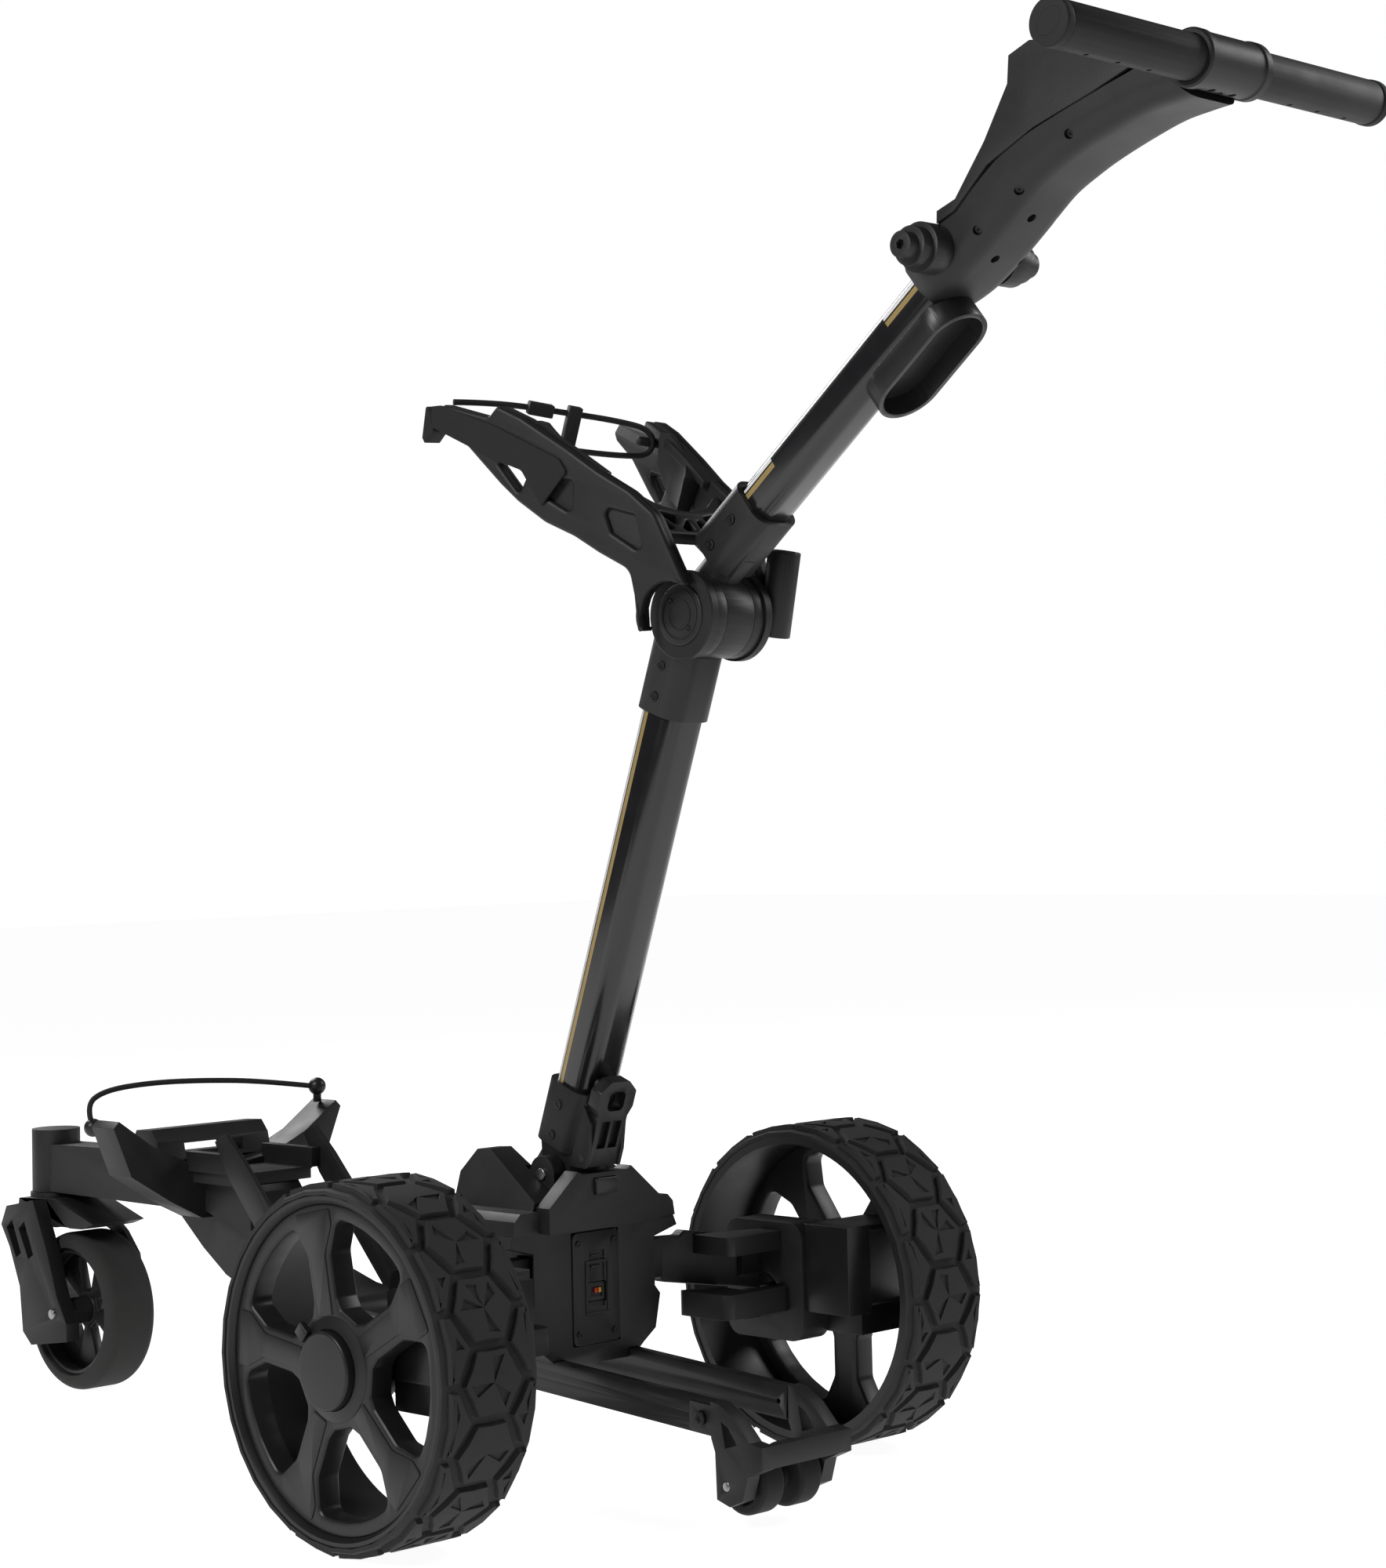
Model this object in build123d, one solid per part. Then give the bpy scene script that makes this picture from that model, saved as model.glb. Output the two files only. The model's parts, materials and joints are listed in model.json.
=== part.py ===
"""Three-wheeled electric golf trolley, one STEP per piece.

Built in a frame with X to the right, Y forward (towards the swivel wheel) and Z up, with the ground at
z = 0 and the rear axle at y = 0. All pieces are then moved along Y, so that the origin is on the ground
under the middle of the trolley's bounding box.
"""

from build123d import *
import math
import os

# ---------------------------------------------------------------- driving dimensions, mm and degrees
track = 600.0  # over the outer faces of the two rear wheels
wheel_base = 770.0  # rear axle to swivel wheel axle
wheel_radius = 140.0
wheel_width = 92.0
tyre_thick = 8.5
rim_thick = 7.5
disc_thick = 12.0
disc_inset = 6.0  # rear wheel's spoked disc behind the outer face
spoke_count = 5
hub_radius = 44.0
cap_radius = 30.0
cap_proud = 5.0
shaft_radius = 8.0
caster_radius = 77.0
caster_width = 54.0
caster_trail = 60.0
head_radius = 24.0
head_low = 190.0
head_high = 252.0
rail_width = 12.0
rail_height = 26.0
rail_inner = 36.0  # mid-plane to a rail's inner face
rail_rear = -156.0
rail_front = 352.0
rail_slope = 3.6
rail_mid_z = 94.0  # rail centre line above the rear axle
body_rear = 26.0
body_front = 130.0
body_low = 100.0
body_seam = 214.0
deck_z = 226.0
shoulder_top = 278.0
body_half = 74.0
cover_half = 91.0
channel_half = 27.0  # the folded mast lies between the shoulders
shell_wall = 4.0
mast_lean = 20.4
mast_length = 488.0  # mast pivot to hinge drum, along the tube
mast_pivot_y = 52.0
mast_pivot_z = 258.0
tube_size = 45.0
tube_depth = 42.0
tube_wall = 2.5
tube_corner = 15.0
tube_setoff = 6.0  # tube centre line in front of the mast pivot
drum_setback = 17.5  # hinge drum centre behind the tube centre line
drum_radius = 34.0
drum_half = tube_size / 2 + 4.0
handle_lean = 52.4
handle_tube = 39.0
handle_tube_depth = 38.0
handle_setoff = 28.0  # handle tube centre line above the drum centre
console_start = 338.0  # drum centre to the console's lower end, along the tube
bar_reach = 622.0  # drum centre to the handlebar, along the tube
bar_drop = 35.0  # handlebar below the drum centre, square to the tube
bar_half = 188.0
bar_radius = 16.5
post_half = 74.0
arm_fold_y = 330.0
roller_radius = 25.0
roller_axle_y = -172.0
roller_axle_z = 35.0

# Clearances.
seat_gap = 0.15  # a tube in its socket
run_gap = 0.05  # a shaft in its bore, radial
body_gap = 0.4  # faces of two bodies that move past each other
slide_gap = 0.3  # a button in its slot


# ---------------------------------------------------------------- small helpers
def side(points, x_from, x_to):
    """Solid with this outline in the YZ plane, between two X values."""
    outline = Plane.YZ.offset(x_from) * make_face(Polyline(*points, close=True))
    return extrude(outline, x_to - x_from)


def front(points, y_from, y_to):
    """Solid with this outline in the XZ plane, between two Y values."""
    plane = Plane(origin=(0, y_from, 0), x_dir=(1, 0, 0), z_dir=(0, -1, 0))
    return extrude(plane * make_face(Polyline(*points, close=True)), -(y_to - y_from))


def rod(radius, x_from, x_to, y=0.0, z=0.0):
    """Cylinder along X."""
    length = x_to - x_from
    return Pos(x_from + length / 2, y, z) * Rot(0, 90, 0) * Cylinder(radius, length)


def rod_y(radius, y_from, y_to, x=0.0, z=0.0):
    """Cylinder along Y."""
    length = y_to - y_from
    return Pos(x, y_from + length / 2, z) * Rot(90, 0, 0) * Cylinder(radius, length)


def rod_z(radius, z_from, z_to, x=0.0, y=0.0):
    """Cylinder along Z."""
    length = z_to - z_from
    return Pos(x, y, z_from + length / 2) * Cylinder(radius, length)


def block(x0, x1, y0, y1, z0, z1):
    """Box between two corners."""
    return Pos((x0 + x1) / 2, (y0 + y1) / 2, (z0 + z1) / 2) * Box(x1 - x0, y1 - y0, z1 - z0)


def mirrored(part):
    """The same piece on the other side of the mid-plane."""
    return mirror(part, Plane.YZ)


def rounded_bar(width, depth, corner, z_from, z_to, y=0.0):
    """Bar along Z with a rounded rectangular section, centred at this Y."""
    section = Plane.XY.offset(z_from) * Pos(0, y) * RectangleRounded(width, depth, corner)
    return extrude(section, z_to - z_from)


def plan(points, z_from, z_to):
    """Solid with this outline in the XY plane, between two Z values."""
    outline = Plane.XY.offset(z_from) * make_face(Polyline(*points, close=True))
    return extrude(outline, z_to - z_from)


def screw_x(x_face, y, z, radius, outward, height=1.6, socket=0.9):
    """Button-head screw with a socket, its head standing on a face square to X."""
    top = x_face + outward * height
    head = rod(radius, min(x_face, top), max(x_face, top), y, z)
    low = top - outward * socket
    high = top + outward
    return head - rod(radius * 0.45, min(low, high), max(low, high), y, z)


def screw_y(x, y_face, z, radius, height=1.2):
    """Flat-head screw with a socket, its head standing on a face that looks rearwards."""
    head = rod_y(radius, y_face - height, y_face, x, z)
    return head - rod_y(radius * 0.45, y_face - height - 1, y_face - height * 0.4, x, z)


nodes = {}

# ---------------------------------------------------------------- frames of the folding parts
mast_angle = math.radians(mast_lean)
handle_angle = math.radians(handle_lean)
mast_up = (0.0, -math.sin(mast_angle), math.cos(mast_angle))
handle_up = (0.0, -math.sin(handle_angle), math.cos(handle_angle))
mast_frame = Plane(origin=(0, mast_pivot_y, mast_pivot_z), x_dir=(1, 0, 0), z_dir=mast_up).location
drum_local_y = tube_setoff - drum_setback
drum_y = mast_pivot_y + drum_local_y * math.cos(mast_angle) - mast_length * math.sin(mast_angle)
drum_z = mast_pivot_z + drum_local_y * math.sin(mast_angle) + mast_length * math.cos(mast_angle)
handle_frame = Plane(origin=(0, drum_y, drum_z), x_dir=(1, 0, 0), z_dir=handle_up).location
cradle_frame = Plane(origin=(0, drum_y, drum_z), x_dir=(1, 0, 0), z_dir=mast_up).location
rail_angle = math.radians(rail_slope)
rail_up = (0.0, -math.sin(rail_angle), math.cos(rail_angle))
rail_frame = Plane(origin=(0, 0, rail_mid_z), x_dir=(1, 0, 0), z_dir=rail_up).location


def rail_z(y):
    """Height of the rail centre line at this Y."""
    return rail_mid_z + y * math.tan(rail_angle)


arm_fold_z = rail_z(arm_fold_y)

# ---------------------------------------------------------------- chassis: rails
fold_pin_radius = 6.0
mast_pin_radius = 5.0
tail_bolt_y = -147.0
roller_pin_radius = 4.0


def rail(side_sign):
    """Rectangular tube that runs under the body from the tail bracket to the front arm."""
    low_y = rail_rear / math.cos(rail_angle)
    high_y = rail_front / math.cos(rail_angle)
    mid_x = rail_inner + rail_width / 2
    outer_x = rail_inner + rail_width
    half = rail_height / 2
    outer = block(rail_inner, outer_x, low_y, high_y, -half, half)
    bore = block(rail_inner + 2, outer_x - 2, low_y - 1, high_y + 1, 2 - half, half - 2)
    tube = rail_frame * (outer - bore)
    tube -= rod(fold_pin_radius + run_gap, mid_x - rail_width, mid_x + rail_width, arm_fold_y, arm_fold_z)
    tube -= rod(2.2, mid_x - rail_width, mid_x + rail_width, tail_bolt_y, rail_z(tail_bolt_y))
    return tube if side_sign > 0 else mirrored(tube)


nodes["rail_right"] = rail(1)
nodes["rail_left"] = rail(-1)
rail_outer = rail_inner + rail_width

# ---------------------------------------------------------------- chassis: tail bracket and rollers
tail_inner = rail_inner + 0.5
tail_outer = rail_outer + 2
tail_points = [
    (rail_rear - 1, rail_z(rail_rear) - 14),
    (rail_rear - 1, rail_z(rail_rear) + 14),
    (-166, 97),
    (-183, 87),
    (-199, 71),
    (-212, 69),
    (-212, 52),
    (-196, 45),
    (-190, 26),
    (-176, 20),
    (-162, 24),
    (-161, 60),
]
tail_side = side(tail_points, tail_inner, tail_outer)
tail_side -= side([(-168, 84), (-176, 80), (-185, 68), (-172, 64)], tail_inner - 1, tail_outer + 1)
tongue_half = rail_height / 2 - 2.2
tongue = block(
    rail_inner + 2.2, rail_outer - 2.2, rail_rear - 4, rail_rear + 24, -tongue_half, tongue_half
)
cheek_plate = block(rail_outer + 0.2, tail_outer, rail_rear - 4, rail_rear + 22, -11, 11)
tail_side += rail_frame * (tongue + cheek_plate)
tail_side -= rod(2.2, rail_inner - 9, rail_outer + 9, tail_bolt_y, rail_z(tail_bolt_y))
tail_bracket = tail_side + mirrored(tail_side) + block(-tail_outer, tail_outer, -212, -204, 52, 69)
tail_bracket -= rod(roller_pin_radius + run_gap, -80, 80, roller_axle_y, roller_axle_z)
nodes["tail_bracket"] = tail_bracket
tail_bolts = [screw_x(s * tail_outer, tail_bolt_y, rail_z(tail_bolt_y), 5.5, s, 3.0) for s in (-1, 1)]
nodes["pivot_pins"] = Compound(
    [
        rod(fold_pin_radius, -rail_outer - 8, rail_outer + 8, arm_fold_y, arm_fold_z),
        rod(mast_pin_radius, -36, 36, mast_pivot_y, mast_pivot_z),
        rod(roller_pin_radius, -tail_outer, tail_outer, roller_axle_y, roller_axle_z),
    ]
)
roller = rod(roller_radius, 9, 33, roller_axle_y, roller_axle_z)
roller = fillet(roller.edges().filter_by(GeomType.CIRCLE), 4)
roller -= rod(roller_radius - 9, 29, 40, roller_axle_y, roller_axle_z)
roller += rod(9, 3, rail_inner, roller_axle_y, roller_axle_z)
roller += rod(9, -3.5, 3.5, roller_axle_y, roller_axle_z)
rollers = roller + mirrored(roller)
rollers -= rod(roller_pin_radius + run_gap, -80, 80, roller_axle_y, roller_axle_z)
nodes["tail_rollers"] = rollers

# ---------------------------------------------------------------- chassis: body shell and what it holds
body_outline = [
    (42, body_low + 2),
    (54, body_low + 12),
    (body_half - 6, body_low + 22),
    (body_half, body_low + 50),
    (body_half - 6, body_low + 57),
    (body_half - 6, body_low + 98),
    (body_half + 2, body_low + 100),
    (cover_half + 4, body_low + 105),
    (cover_half, body_seam),
]
body_outline = body_outline + [(-x, z) for x, z in reversed(body_outline)]
shell = front(body_outline, body_rear, body_front)
shell -= block(-62, 62, body_rear + shell_wall, body_front - shell_wall, body_low + 26, body_seam + 1)
slot_z = (body_low + 60, body_low + 96)
shell -= block(-90, -60, body_rear + 2, body_rear + 20, slot_z[0], slot_z[1])
shell -= block(60, 90, body_rear + 2, body_rear + 20, slot_z[0], slot_z[1])
rail_room = rail_frame * block(
    rail_inner - 0.2, rail_outer + 0.2, -400, 500, -60, rail_height / 2 + 0.2
)
shell = shell - rail_room - mirrored(rail_room)
panel_half = 26.0
panel_low = body_low + 18
panel_high = body_seam - 4
panel_room = panel_half + 0.3
shell -= block(-panel_room, panel_room, body_rear - 1, body_rear + 2.2, panel_low - 0.3, panel_high + 0.3)
nodes["body_shell"] = shell

panel = block(-panel_half, panel_half, body_rear - 1, body_rear + 2, panel_low, panel_high)
panel = fillet(panel.edges().filter_by(Axis.Y), 5)
panel -= block(-7, 9, body_rear - 2, body_rear + 0.5, panel_low + 30, panel_high - 16)
panel -= block(-9, 11, body_rear - 2, body_rear + 4, panel_low + 34, panel_low + 50)
panel_screw_x = panel_half - 6
panel_screw_z = (panel_low + 9, panel_high - 9)
panel_socket = block(-8.5, 10.5, body_rear + 0.2, body_rear + 3.8, panel_low + 34.5, panel_low + 49.5)
panel_socket -= block(-5, 7, body_rear - 1, body_rear + 1.6, panel_low + 38, panel_low + 46)
nodes["rear_panel"] = Compound([panel, panel_socket])
nodes["body_shell"] -= block(-9, 11, body_rear, body_rear + 8, panel_low + 34, panel_low + 50)
panel_screws = [screw_y(s * panel_screw_x, body_rear - 1, z, 2.6) for s in (-1, 1) for z in panel_screw_z]
nodes["chassis_screws"] = Compound(tail_bolts + panel_screws)

battery_low = body_low + 26
battery_front = body_front - shell_wall - 0.5
battery = block(-58, 58, body_front - 76, battery_front, battery_low + 0.2, deck_z - 10)
nodes["battery_pack"] = fillet(battery.edges().filter_by(Axis.Y), 6)
board = block(-50, 50, body_front - 88, body_front - 84, battery_low + 0.2, deck_z - 22)
board += block(-30, 20, body_front - 84, body_front - 78, battery_low + 20, battery_low + 50)
nodes["control_board"] = board

# Cover: a wide ledge, two raised shoulders, the mast's pivot ears and the latch block.
ear_in = 22.0
ear_out = 34.0
ledge_outline = [
    (38, body_seam),
    (cover_half, body_seam),
    (cover_half - 2, deck_z),
    (cover_half - 8, deck_z + 6),
    (38, deck_z + 6),
]
ledge = front(ledge_outline, body_rear - 2, body_front)
shoulder = side(
    [
        (body_rear + 4, body_seam + 2),
        (body_rear + 4, deck_z + 13),
        (mast_pivot_y + 46, shoulder_top),
        (mast_pivot_y + 62, shoulder_top - 1),
        (body_front, deck_z + 32),
        (body_front, body_seam + 2),
    ],
    channel_half,
    66,
)
shoulder_slope = [(66, deck_z), (90, deck_z), (90, shoulder_top + 1), (50, shoulder_top + 1)]
shoulder -= front(shoulder_slope, -50, 300)
shoulder -= rod(mast_pin_radius + 17, 0, ear_out - 0.5, mast_pivot_y, mast_pivot_z)
cover = ledge + shoulder + mirrored(ledge + shoulder)
cover += block(-38, 38, body_rear + 8, body_front, body_seam, deck_z)
latch_block_top = deck_z + 33
cover += front(
    [
        (-62, body_seam),
        (-62, deck_z + 9),
        (-30, latch_block_top + 3),
        (-25, latch_block_top),
        (25, latch_block_top),
        (30, latch_block_top + 3),
        (62, deck_z + 9),
        (62, body_seam),
    ],
    body_rear - 14,
    body_rear + 2,
)
ear = side(
    [
        (mast_pivot_y - 16, body_seam + 2),
        (mast_pivot_y - 15, mast_pivot_z),
        (mast_pivot_y + 15, mast_pivot_z),
        (mast_pivot_y + 24, body_seam + 2),
    ],
    ear_in,
    ear_out,
) + rod(15, ear_in, ear_out, mast_pivot_y, mast_pivot_z)
cover = cover + ear + mirrored(ear)
cover_room = cover_half - 2 * shell_wall
cover_under = deck_z - shell_wall
cover -= block(-cover_room, cover_room, body_front - 88, body_front - shell_wall, body_seam - 1, cover_under)
cover -= rod(mast_pin_radius, -36.5, 36.5, mast_pivot_y, mast_pivot_z)
button_half = 12.0
button_low = deck_z + 16
button_high = button_low + 13
button_y = body_rear - 14
button_slot = button_half + slide_gap
cover -= block(
    -button_slot, button_slot, button_y - 1, button_y + 9, button_low - slide_gap, button_high + slide_gap
)
nodes["body_cover"] = cover
button = block(-button_half, button_half, button_y - 3, button_y + 4, button_low, button_high)
nodes["release_button"] = fillet(button.edges().filter_by(Axis.Y), 2)

# ---------------------------------------------------------------- drive units and rear wheels
axle_z = wheel_radius
half_track = track / 2
wheel_inner = half_track - wheel_width
case_in = 172.0
case_out = 204.0
unit_arm_y = body_rear + 7.0
arm_sweep = 30.0  # how far the arm's outer end is behind its root


def drive_arm():
    """Flat arm that carries the drive unit, out of the slot in the body's side."""
    outline = front(
        [
            (58, slot_z[0] + 2),
            (62, slot_z[1] - 1),
            (100, slot_z[1] - 1),
            (104, slot_z[1] + 3),
            (150, slot_z[1] - 4),
            (case_in, slot_z[1] - 8),
            (case_in, slot_z[0] - 17),
            (150, slot_z[0] - 13),
            (84, slot_z[0] - 3),
            (82, slot_z[0] + 1),
            (66, slot_z[0] + 1),
        ],
        -100,
        100,
    )
    return outline & plan(
        [
            (58, unit_arm_y),
            (84, unit_arm_y),
            (case_in, unit_arm_y - arm_sweep),
            (case_in, unit_arm_y - arm_sweep + 12),
            (84, unit_arm_y + 12),
            (58, unit_arm_y + 12),
        ],
        100,
        240,
    )


def gear_case():
    """Reduction gear housing beside the wheel, with upper and lower covers."""
    case = block(case_in + 0.2, case_out, -46, 44, axle_z - 38, axle_z + 62)
    case = fillet(case.edges().filter_by(Axis.X), 14)
    case += rod(26, case_out - 6, case_out + 20, 0, axle_z)
    upper = block(111, case_in + 4, -22, unit_arm_y - 1, axle_z + 39, axle_z + 55)
    upper = fillet(upper.edges().filter_by(Axis.Z), 6)
    lower = block(98, case_in + 4, -30, unit_arm_y - 1, axle_z - 12, axle_z + 9)
    lower = fillet(lower.edges().filter_by(Axis.Z), 9)
    lug = block(150, case_in + 2, unit_arm_y - 30, unit_arm_y - 0.4, axle_z - 20, axle_z + 46)
    arm_face = [
        (50, unit_arm_y - 0.3),
        (84, unit_arm_y - 0.3),
        (case_in + 0.2, unit_arm_y - arm_sweep - 0.3),
        (case_in + 0.2, 200),
        (50, 200),
    ]
    arm_room = plan(arm_face, 0, 300)
    case = case + upper + lower + lug - arm_room
    case -= rod(shaft_radius + run_gap, case_in - 1, case_out + 40, 0, axle_z)
    case -= rod(shaft_radius + 10, case_in - 40, case_in + 12, 0, axle_z)
    return case


motor_low = axle_z - 32
motor_high = axle_z + 60


def motor():
    """Square motor block behind the axle, inside the wheel."""
    body = block(case_out + 0.2, case_out + 62, -92, -31, motor_low + 24, motor_high)
    body = fillet(body.edges().filter_by(Axis.X), 5)
    body += block(case_out + 0.2, case_out + 56, -84, -31, motor_low, motor_low + 26)
    flange = block(case_in + 4, case_out + 0.2, -96, -46.3, motor_low + 20, motor_high + 2)
    return body + flange


def tyre():
    """Rubber ring with cut shoulders, glued on the rim's barrel."""
    outer = rod(wheel_radius, wheel_inner, half_track, 0, axle_z)
    outer = chamfer(outer.edges().filter_by(GeomType.CIRCLE), 4)
    return outer - rod(wheel_radius - tyre_thick, wheel_inner - 1, half_track + 1, 0, axle_z)


def spoke_window(index):
    """One of the openings between two spokes."""
    inner = 52.0
    outer = wheel_radius - tyre_thick - 14
    half_out = math.radians(25.0)
    half_in = math.radians(13.0)
    points = [
        (inner * math.cos(half_in), -inner * math.sin(half_in)),
        (outer * math.cos(half_out) * 0.99, -outer * math.sin(half_out) * 0.99),
        (outer * math.cos(half_out / 2), -outer * math.sin(half_out / 2)),
        (outer, 0),
    ]
    points = points + [(u, -v) for u, v in reversed(points[:-1])]
    wedge = side(points, 0, disc_thick + disc_inset + 30)
    wedge = fillet(wedge.edges().filter_by(Axis.X), 6)
    turn = 90.0 + index * 360.0 / spoke_count
    return Pos(half_track - disc_thick - disc_inset - 15, 0, axle_z) * Rot(turn, 0, 0) * wedge


def rim():
    """Moulded wheel: a barrel, a spoked disc near the outer face and a hub."""
    barrel_out = wheel_radius - tyre_thick - 0.1
    disc_out = half_track - disc_inset
    barrel = rod(barrel_out, wheel_inner + 1, half_track - 1, 0, axle_z)
    barrel -= rod(barrel_out - rim_thick, wheel_inner, disc_out - disc_thick, 0, axle_z)
    barrel -= rod(barrel_out - rim_thick - 3, disc_out, half_track + 1, 0, axle_z)
    for index in range(spoke_count):
        barrel -= spoke_window(index)
    hub = rod(hub_radius, disc_out - 0.5, half_track - 2, 0, axle_z)
    hub += rod(30, disc_out - disc_thick - 28, disc_out - disc_thick + 1, 0, axle_z)
    wheel = barrel + hub
    wheel -= rod(cap_radius + 0.2, half_track - 5, half_track + 10, 0, axle_z)
    wheel -= rod(shaft_radius, wheel_inner - 10, half_track - 12, 0, axle_z)
    return wheel


catch_y = 40.0 * math.cos(math.radians(40))
catch_z = axle_z + 40.0 * math.sin(math.radians(40))


def catch_slot(grow):
    """Room for the wheel's quick-release catch beside the hub cap."""
    slot = block(half_track - 9 - grow, half_track + 8, -6 - grow, 6 + grow, -5.5 - grow, 5.5 + grow)
    return Pos(0, catch_y, catch_z) * Rot(40, 0, 0) * slot


def wheel_set(sign, name):
    """All pieces of one driven wheel, its shaft and its drive unit."""
    wheel = rim() - catch_slot(slide_gap)
    cap = rod(cap_radius, half_track - 5, half_track + cap_proud, 0, axle_z)
    cap = fillet(cap.edges().filter_by(GeomType.CIRCLE).sort_by(Axis.X)[-1], 2.5)
    cap -= catch_slot(slide_gap)
    shaft = rod(shaft_radius, case_in + 1, half_track - 12, 0, axle_z)
    catch_body = block(half_track - 4, half_track + 1.5, -6, 6, -5.5, 5.5)
    catch_body = Pos(0, catch_y, catch_z) * Rot(40, 0, 0) * catch_body
    made = {
        "tyre_": tyre(),
        "rim_": wheel,
        "hub_cap_": cap,
        "drive_shaft_": shaft,
        "wheel_catch_": catch_body,
        "drive_arm_": drive_arm(),
        "gear_case_": gear_case(),
        "motor_": motor(),
    }
    for stem, part in made.items():
        nodes[stem + name] = part if sign > 0 else mirrored(part)


wheel_set(1, "right")
wheel_set(-1, "left")

# ---------------------------------------------------------------- front arm and swivel wheel
head_y = wheel_base + caster_trail
arm_half = 18.0
arm_root = rail_inner - 1.5
arm_points = [
    (arm_fold_y - 4, arm_fold_z - 16),
    (430, arm_fold_z - 14),
    (480, 120),
    (518, 134),
    (553, 156),
    (588, 183),
    (622, 190),
    (head_y - 10, head_low + 1),
    (head_y - 10, head_high - 14),
    (700, 240),
    (640, 238),
    (606, 228),
    (574, 206),
    (520, 190),
    (440, 162),
    (360, arm_fold_z + 20),
    (arm_fold_y, arm_fold_z + 16),
]
front_arm = side(arm_points, -arm_half, arm_half)
front_arm += rod(16, -arm_root, arm_root, arm_fold_y, arm_fold_z)
wide_root = [
    (arm_fold_y, arm_fold_z - 16),
    (430, arm_fold_z - 14),
    (470, 112),
    (470, 165),
    (360, arm_fold_z + 20),
    (arm_fold_y, arm_fold_z + 16),
]
front_arm += side(wide_root, -arm_root, arm_root)
front_arm += rod_z(head_radius, head_low, head_high, 0, head_y)
front_arm -= rod(fold_pin_radius + run_gap, -60, 60, arm_fold_y, arm_fold_z)
stem_radius = 9.0
front_arm -= rod_z(stem_radius + run_gap, head_low - 1, head_high - 8, 0, head_y)
nodes["front_arm"] = front_arm

# Lower cradle: a saddle for the foot of the bag, on the front arm.
saddle_y = 532.0
saddle_depth = 36.0
hump_reach = 62.0
saddle_half = 125.0
saddle_tip = 284.0
saddle_low = 236.0
saddle_under = 187.0
saddle_outline = [
    (0, saddle_low),
    (20, saddle_low),
    (48, saddle_low + 4),
    (88, 258),
    (saddle_half, saddle_tip),
    (saddle_half + 6, saddle_tip - 6),
    (112, 232),
    (70, 206),
    (34, saddle_under),
    (0, saddle_under),
]
saddle = front(saddle_outline, saddle_y, saddle_y + saddle_depth)
saddle_room = front(
    [(0, 228), (46, 228), (88, 248), (104, 262), (100, 240), (62, 210), (0, 210)],
    saddle_y + 7,
    saddle_y + 80,
)
saddle -= saddle_room
saddle += mirrored(saddle)
hump = side(
    [
        (saddle_y + 24, saddle_low + 4),
        (saddle_y + 28, saddle_low + 22),
        (saddle_y + 38, saddle_low + 33),
        (saddle_y + hump_reach, saddle_low + 32),
        (saddle_y + hump_reach + 10, saddle_low + 14),
        (saddle_y + hump_reach - 2, saddle_low - 7),
    ],
    -64,
    64,
)
foot_outline = [
    (saddle_y - 70, 170),
    (saddle_y - 70, 214),
    (saddle_y - 58, 228),
    (saddle_y + 2, 232),
    (saddle_y + 2, 194),
]
foot = side(foot_outline, -30, 30)
lower_cradle = saddle + hump + foot
lower_cradle -= block(-34, 34, saddle_y + 22, saddle_y + 110, saddle_low + 8, saddle_low + 19)
arm_top = [
    (430, 100),
    (430, 160.5),
    (440, 164),
    (520, 192.3),
    (574, 208.3),
    (606, 230.3),
    (640, 240.4),
    (700, 242.4),
    (720, 100),
]
lower_cradle -= side(arm_top, -arm_half - 0.3, arm_half + 0.3)
brace_in = rail_outer + body_gap
brace_points = [
    (saddle_y - 64, 270),
    (saddle_y - 48, 262),
    (saddle_y - 72, 226),
    (arm_fold_y + 14, arm_fold_z - 10),
    (arm_fold_y, arm_fold_z - 14),
    (arm_fold_y - 14, arm_fold_z),
    (arm_fold_y - 8, arm_fold_z + 14),
    (saddle_y - 92, 246),
]
brace = side(brace_points, brace_in, brace_in + 5)
brace -= rod(fold_pin_radius + run_gap, 40, 70, arm_fold_y, arm_fold_z)
nodes["cradle_braces"] = Compound([brace, mirrored(brace)])
brace_lug = block(brace_in - 10, brace_in - 0.2, saddle_y - 74, saddle_y + 4, 232, 250)
lower_cradle += block(5 - brace_in, brace_in - 5, saddle_y - 66, saddle_y + 2, 221, 232)
nodes["lower_cradle"] = lower_cradle + brace_lug + mirrored(brace_lug)

# Fork: a broad leg on the left, a thin guard on the right, and a stem up into the head.
caster_y = wheel_base
caster_z = caster_radius
crown_top = head_low - body_gap
crown_low = 166.0
leg_in = caster_width / 2 + 3
leg_out = leg_in + 15
crown = rod_z(head_radius + 2, crown_low, crown_top, 0, head_y)
crown += side(
    [
        (head_y + 26, crown_low - 4),
        (head_y + 22, crown_top - 6),
        (head_y - 40, crown_top - 3),
        (head_y - 110, crown_low),
        (head_y - 90, crown_low - 6),
        (head_y + 14, crown_low - 9),
    ],
    -leg_in,
    leg_in,
)
leg = side(
    [
        (head_y + 32, 158),
        (head_y + 22, 177),
        (head_y - 26, crown_top - 4),
        (caster_y + 9, 136),
        (caster_y - 7, 95),
        (caster_y - 24, caster_z - 8),
        (caster_y - 24, caster_z - 25),
        (caster_y + 39, caster_z - 34),
        (caster_y + 54, caster_z - 22),
        (caster_y + 59, 99),
        (head_y + 17, 137),
    ],
    -leg_out,
    -leg_in,
)
for slot_shift in (0, -22):
    slot_y = head_y + slot_shift
    slot_outline = [(slot_y + 22, 156), (slot_y + 12, 164), (slot_y - 4, 132), (slot_y + 5, 127)]
    leg -= side(slot_outline, -leg_out - 1, -leg_out + 8)
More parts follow.
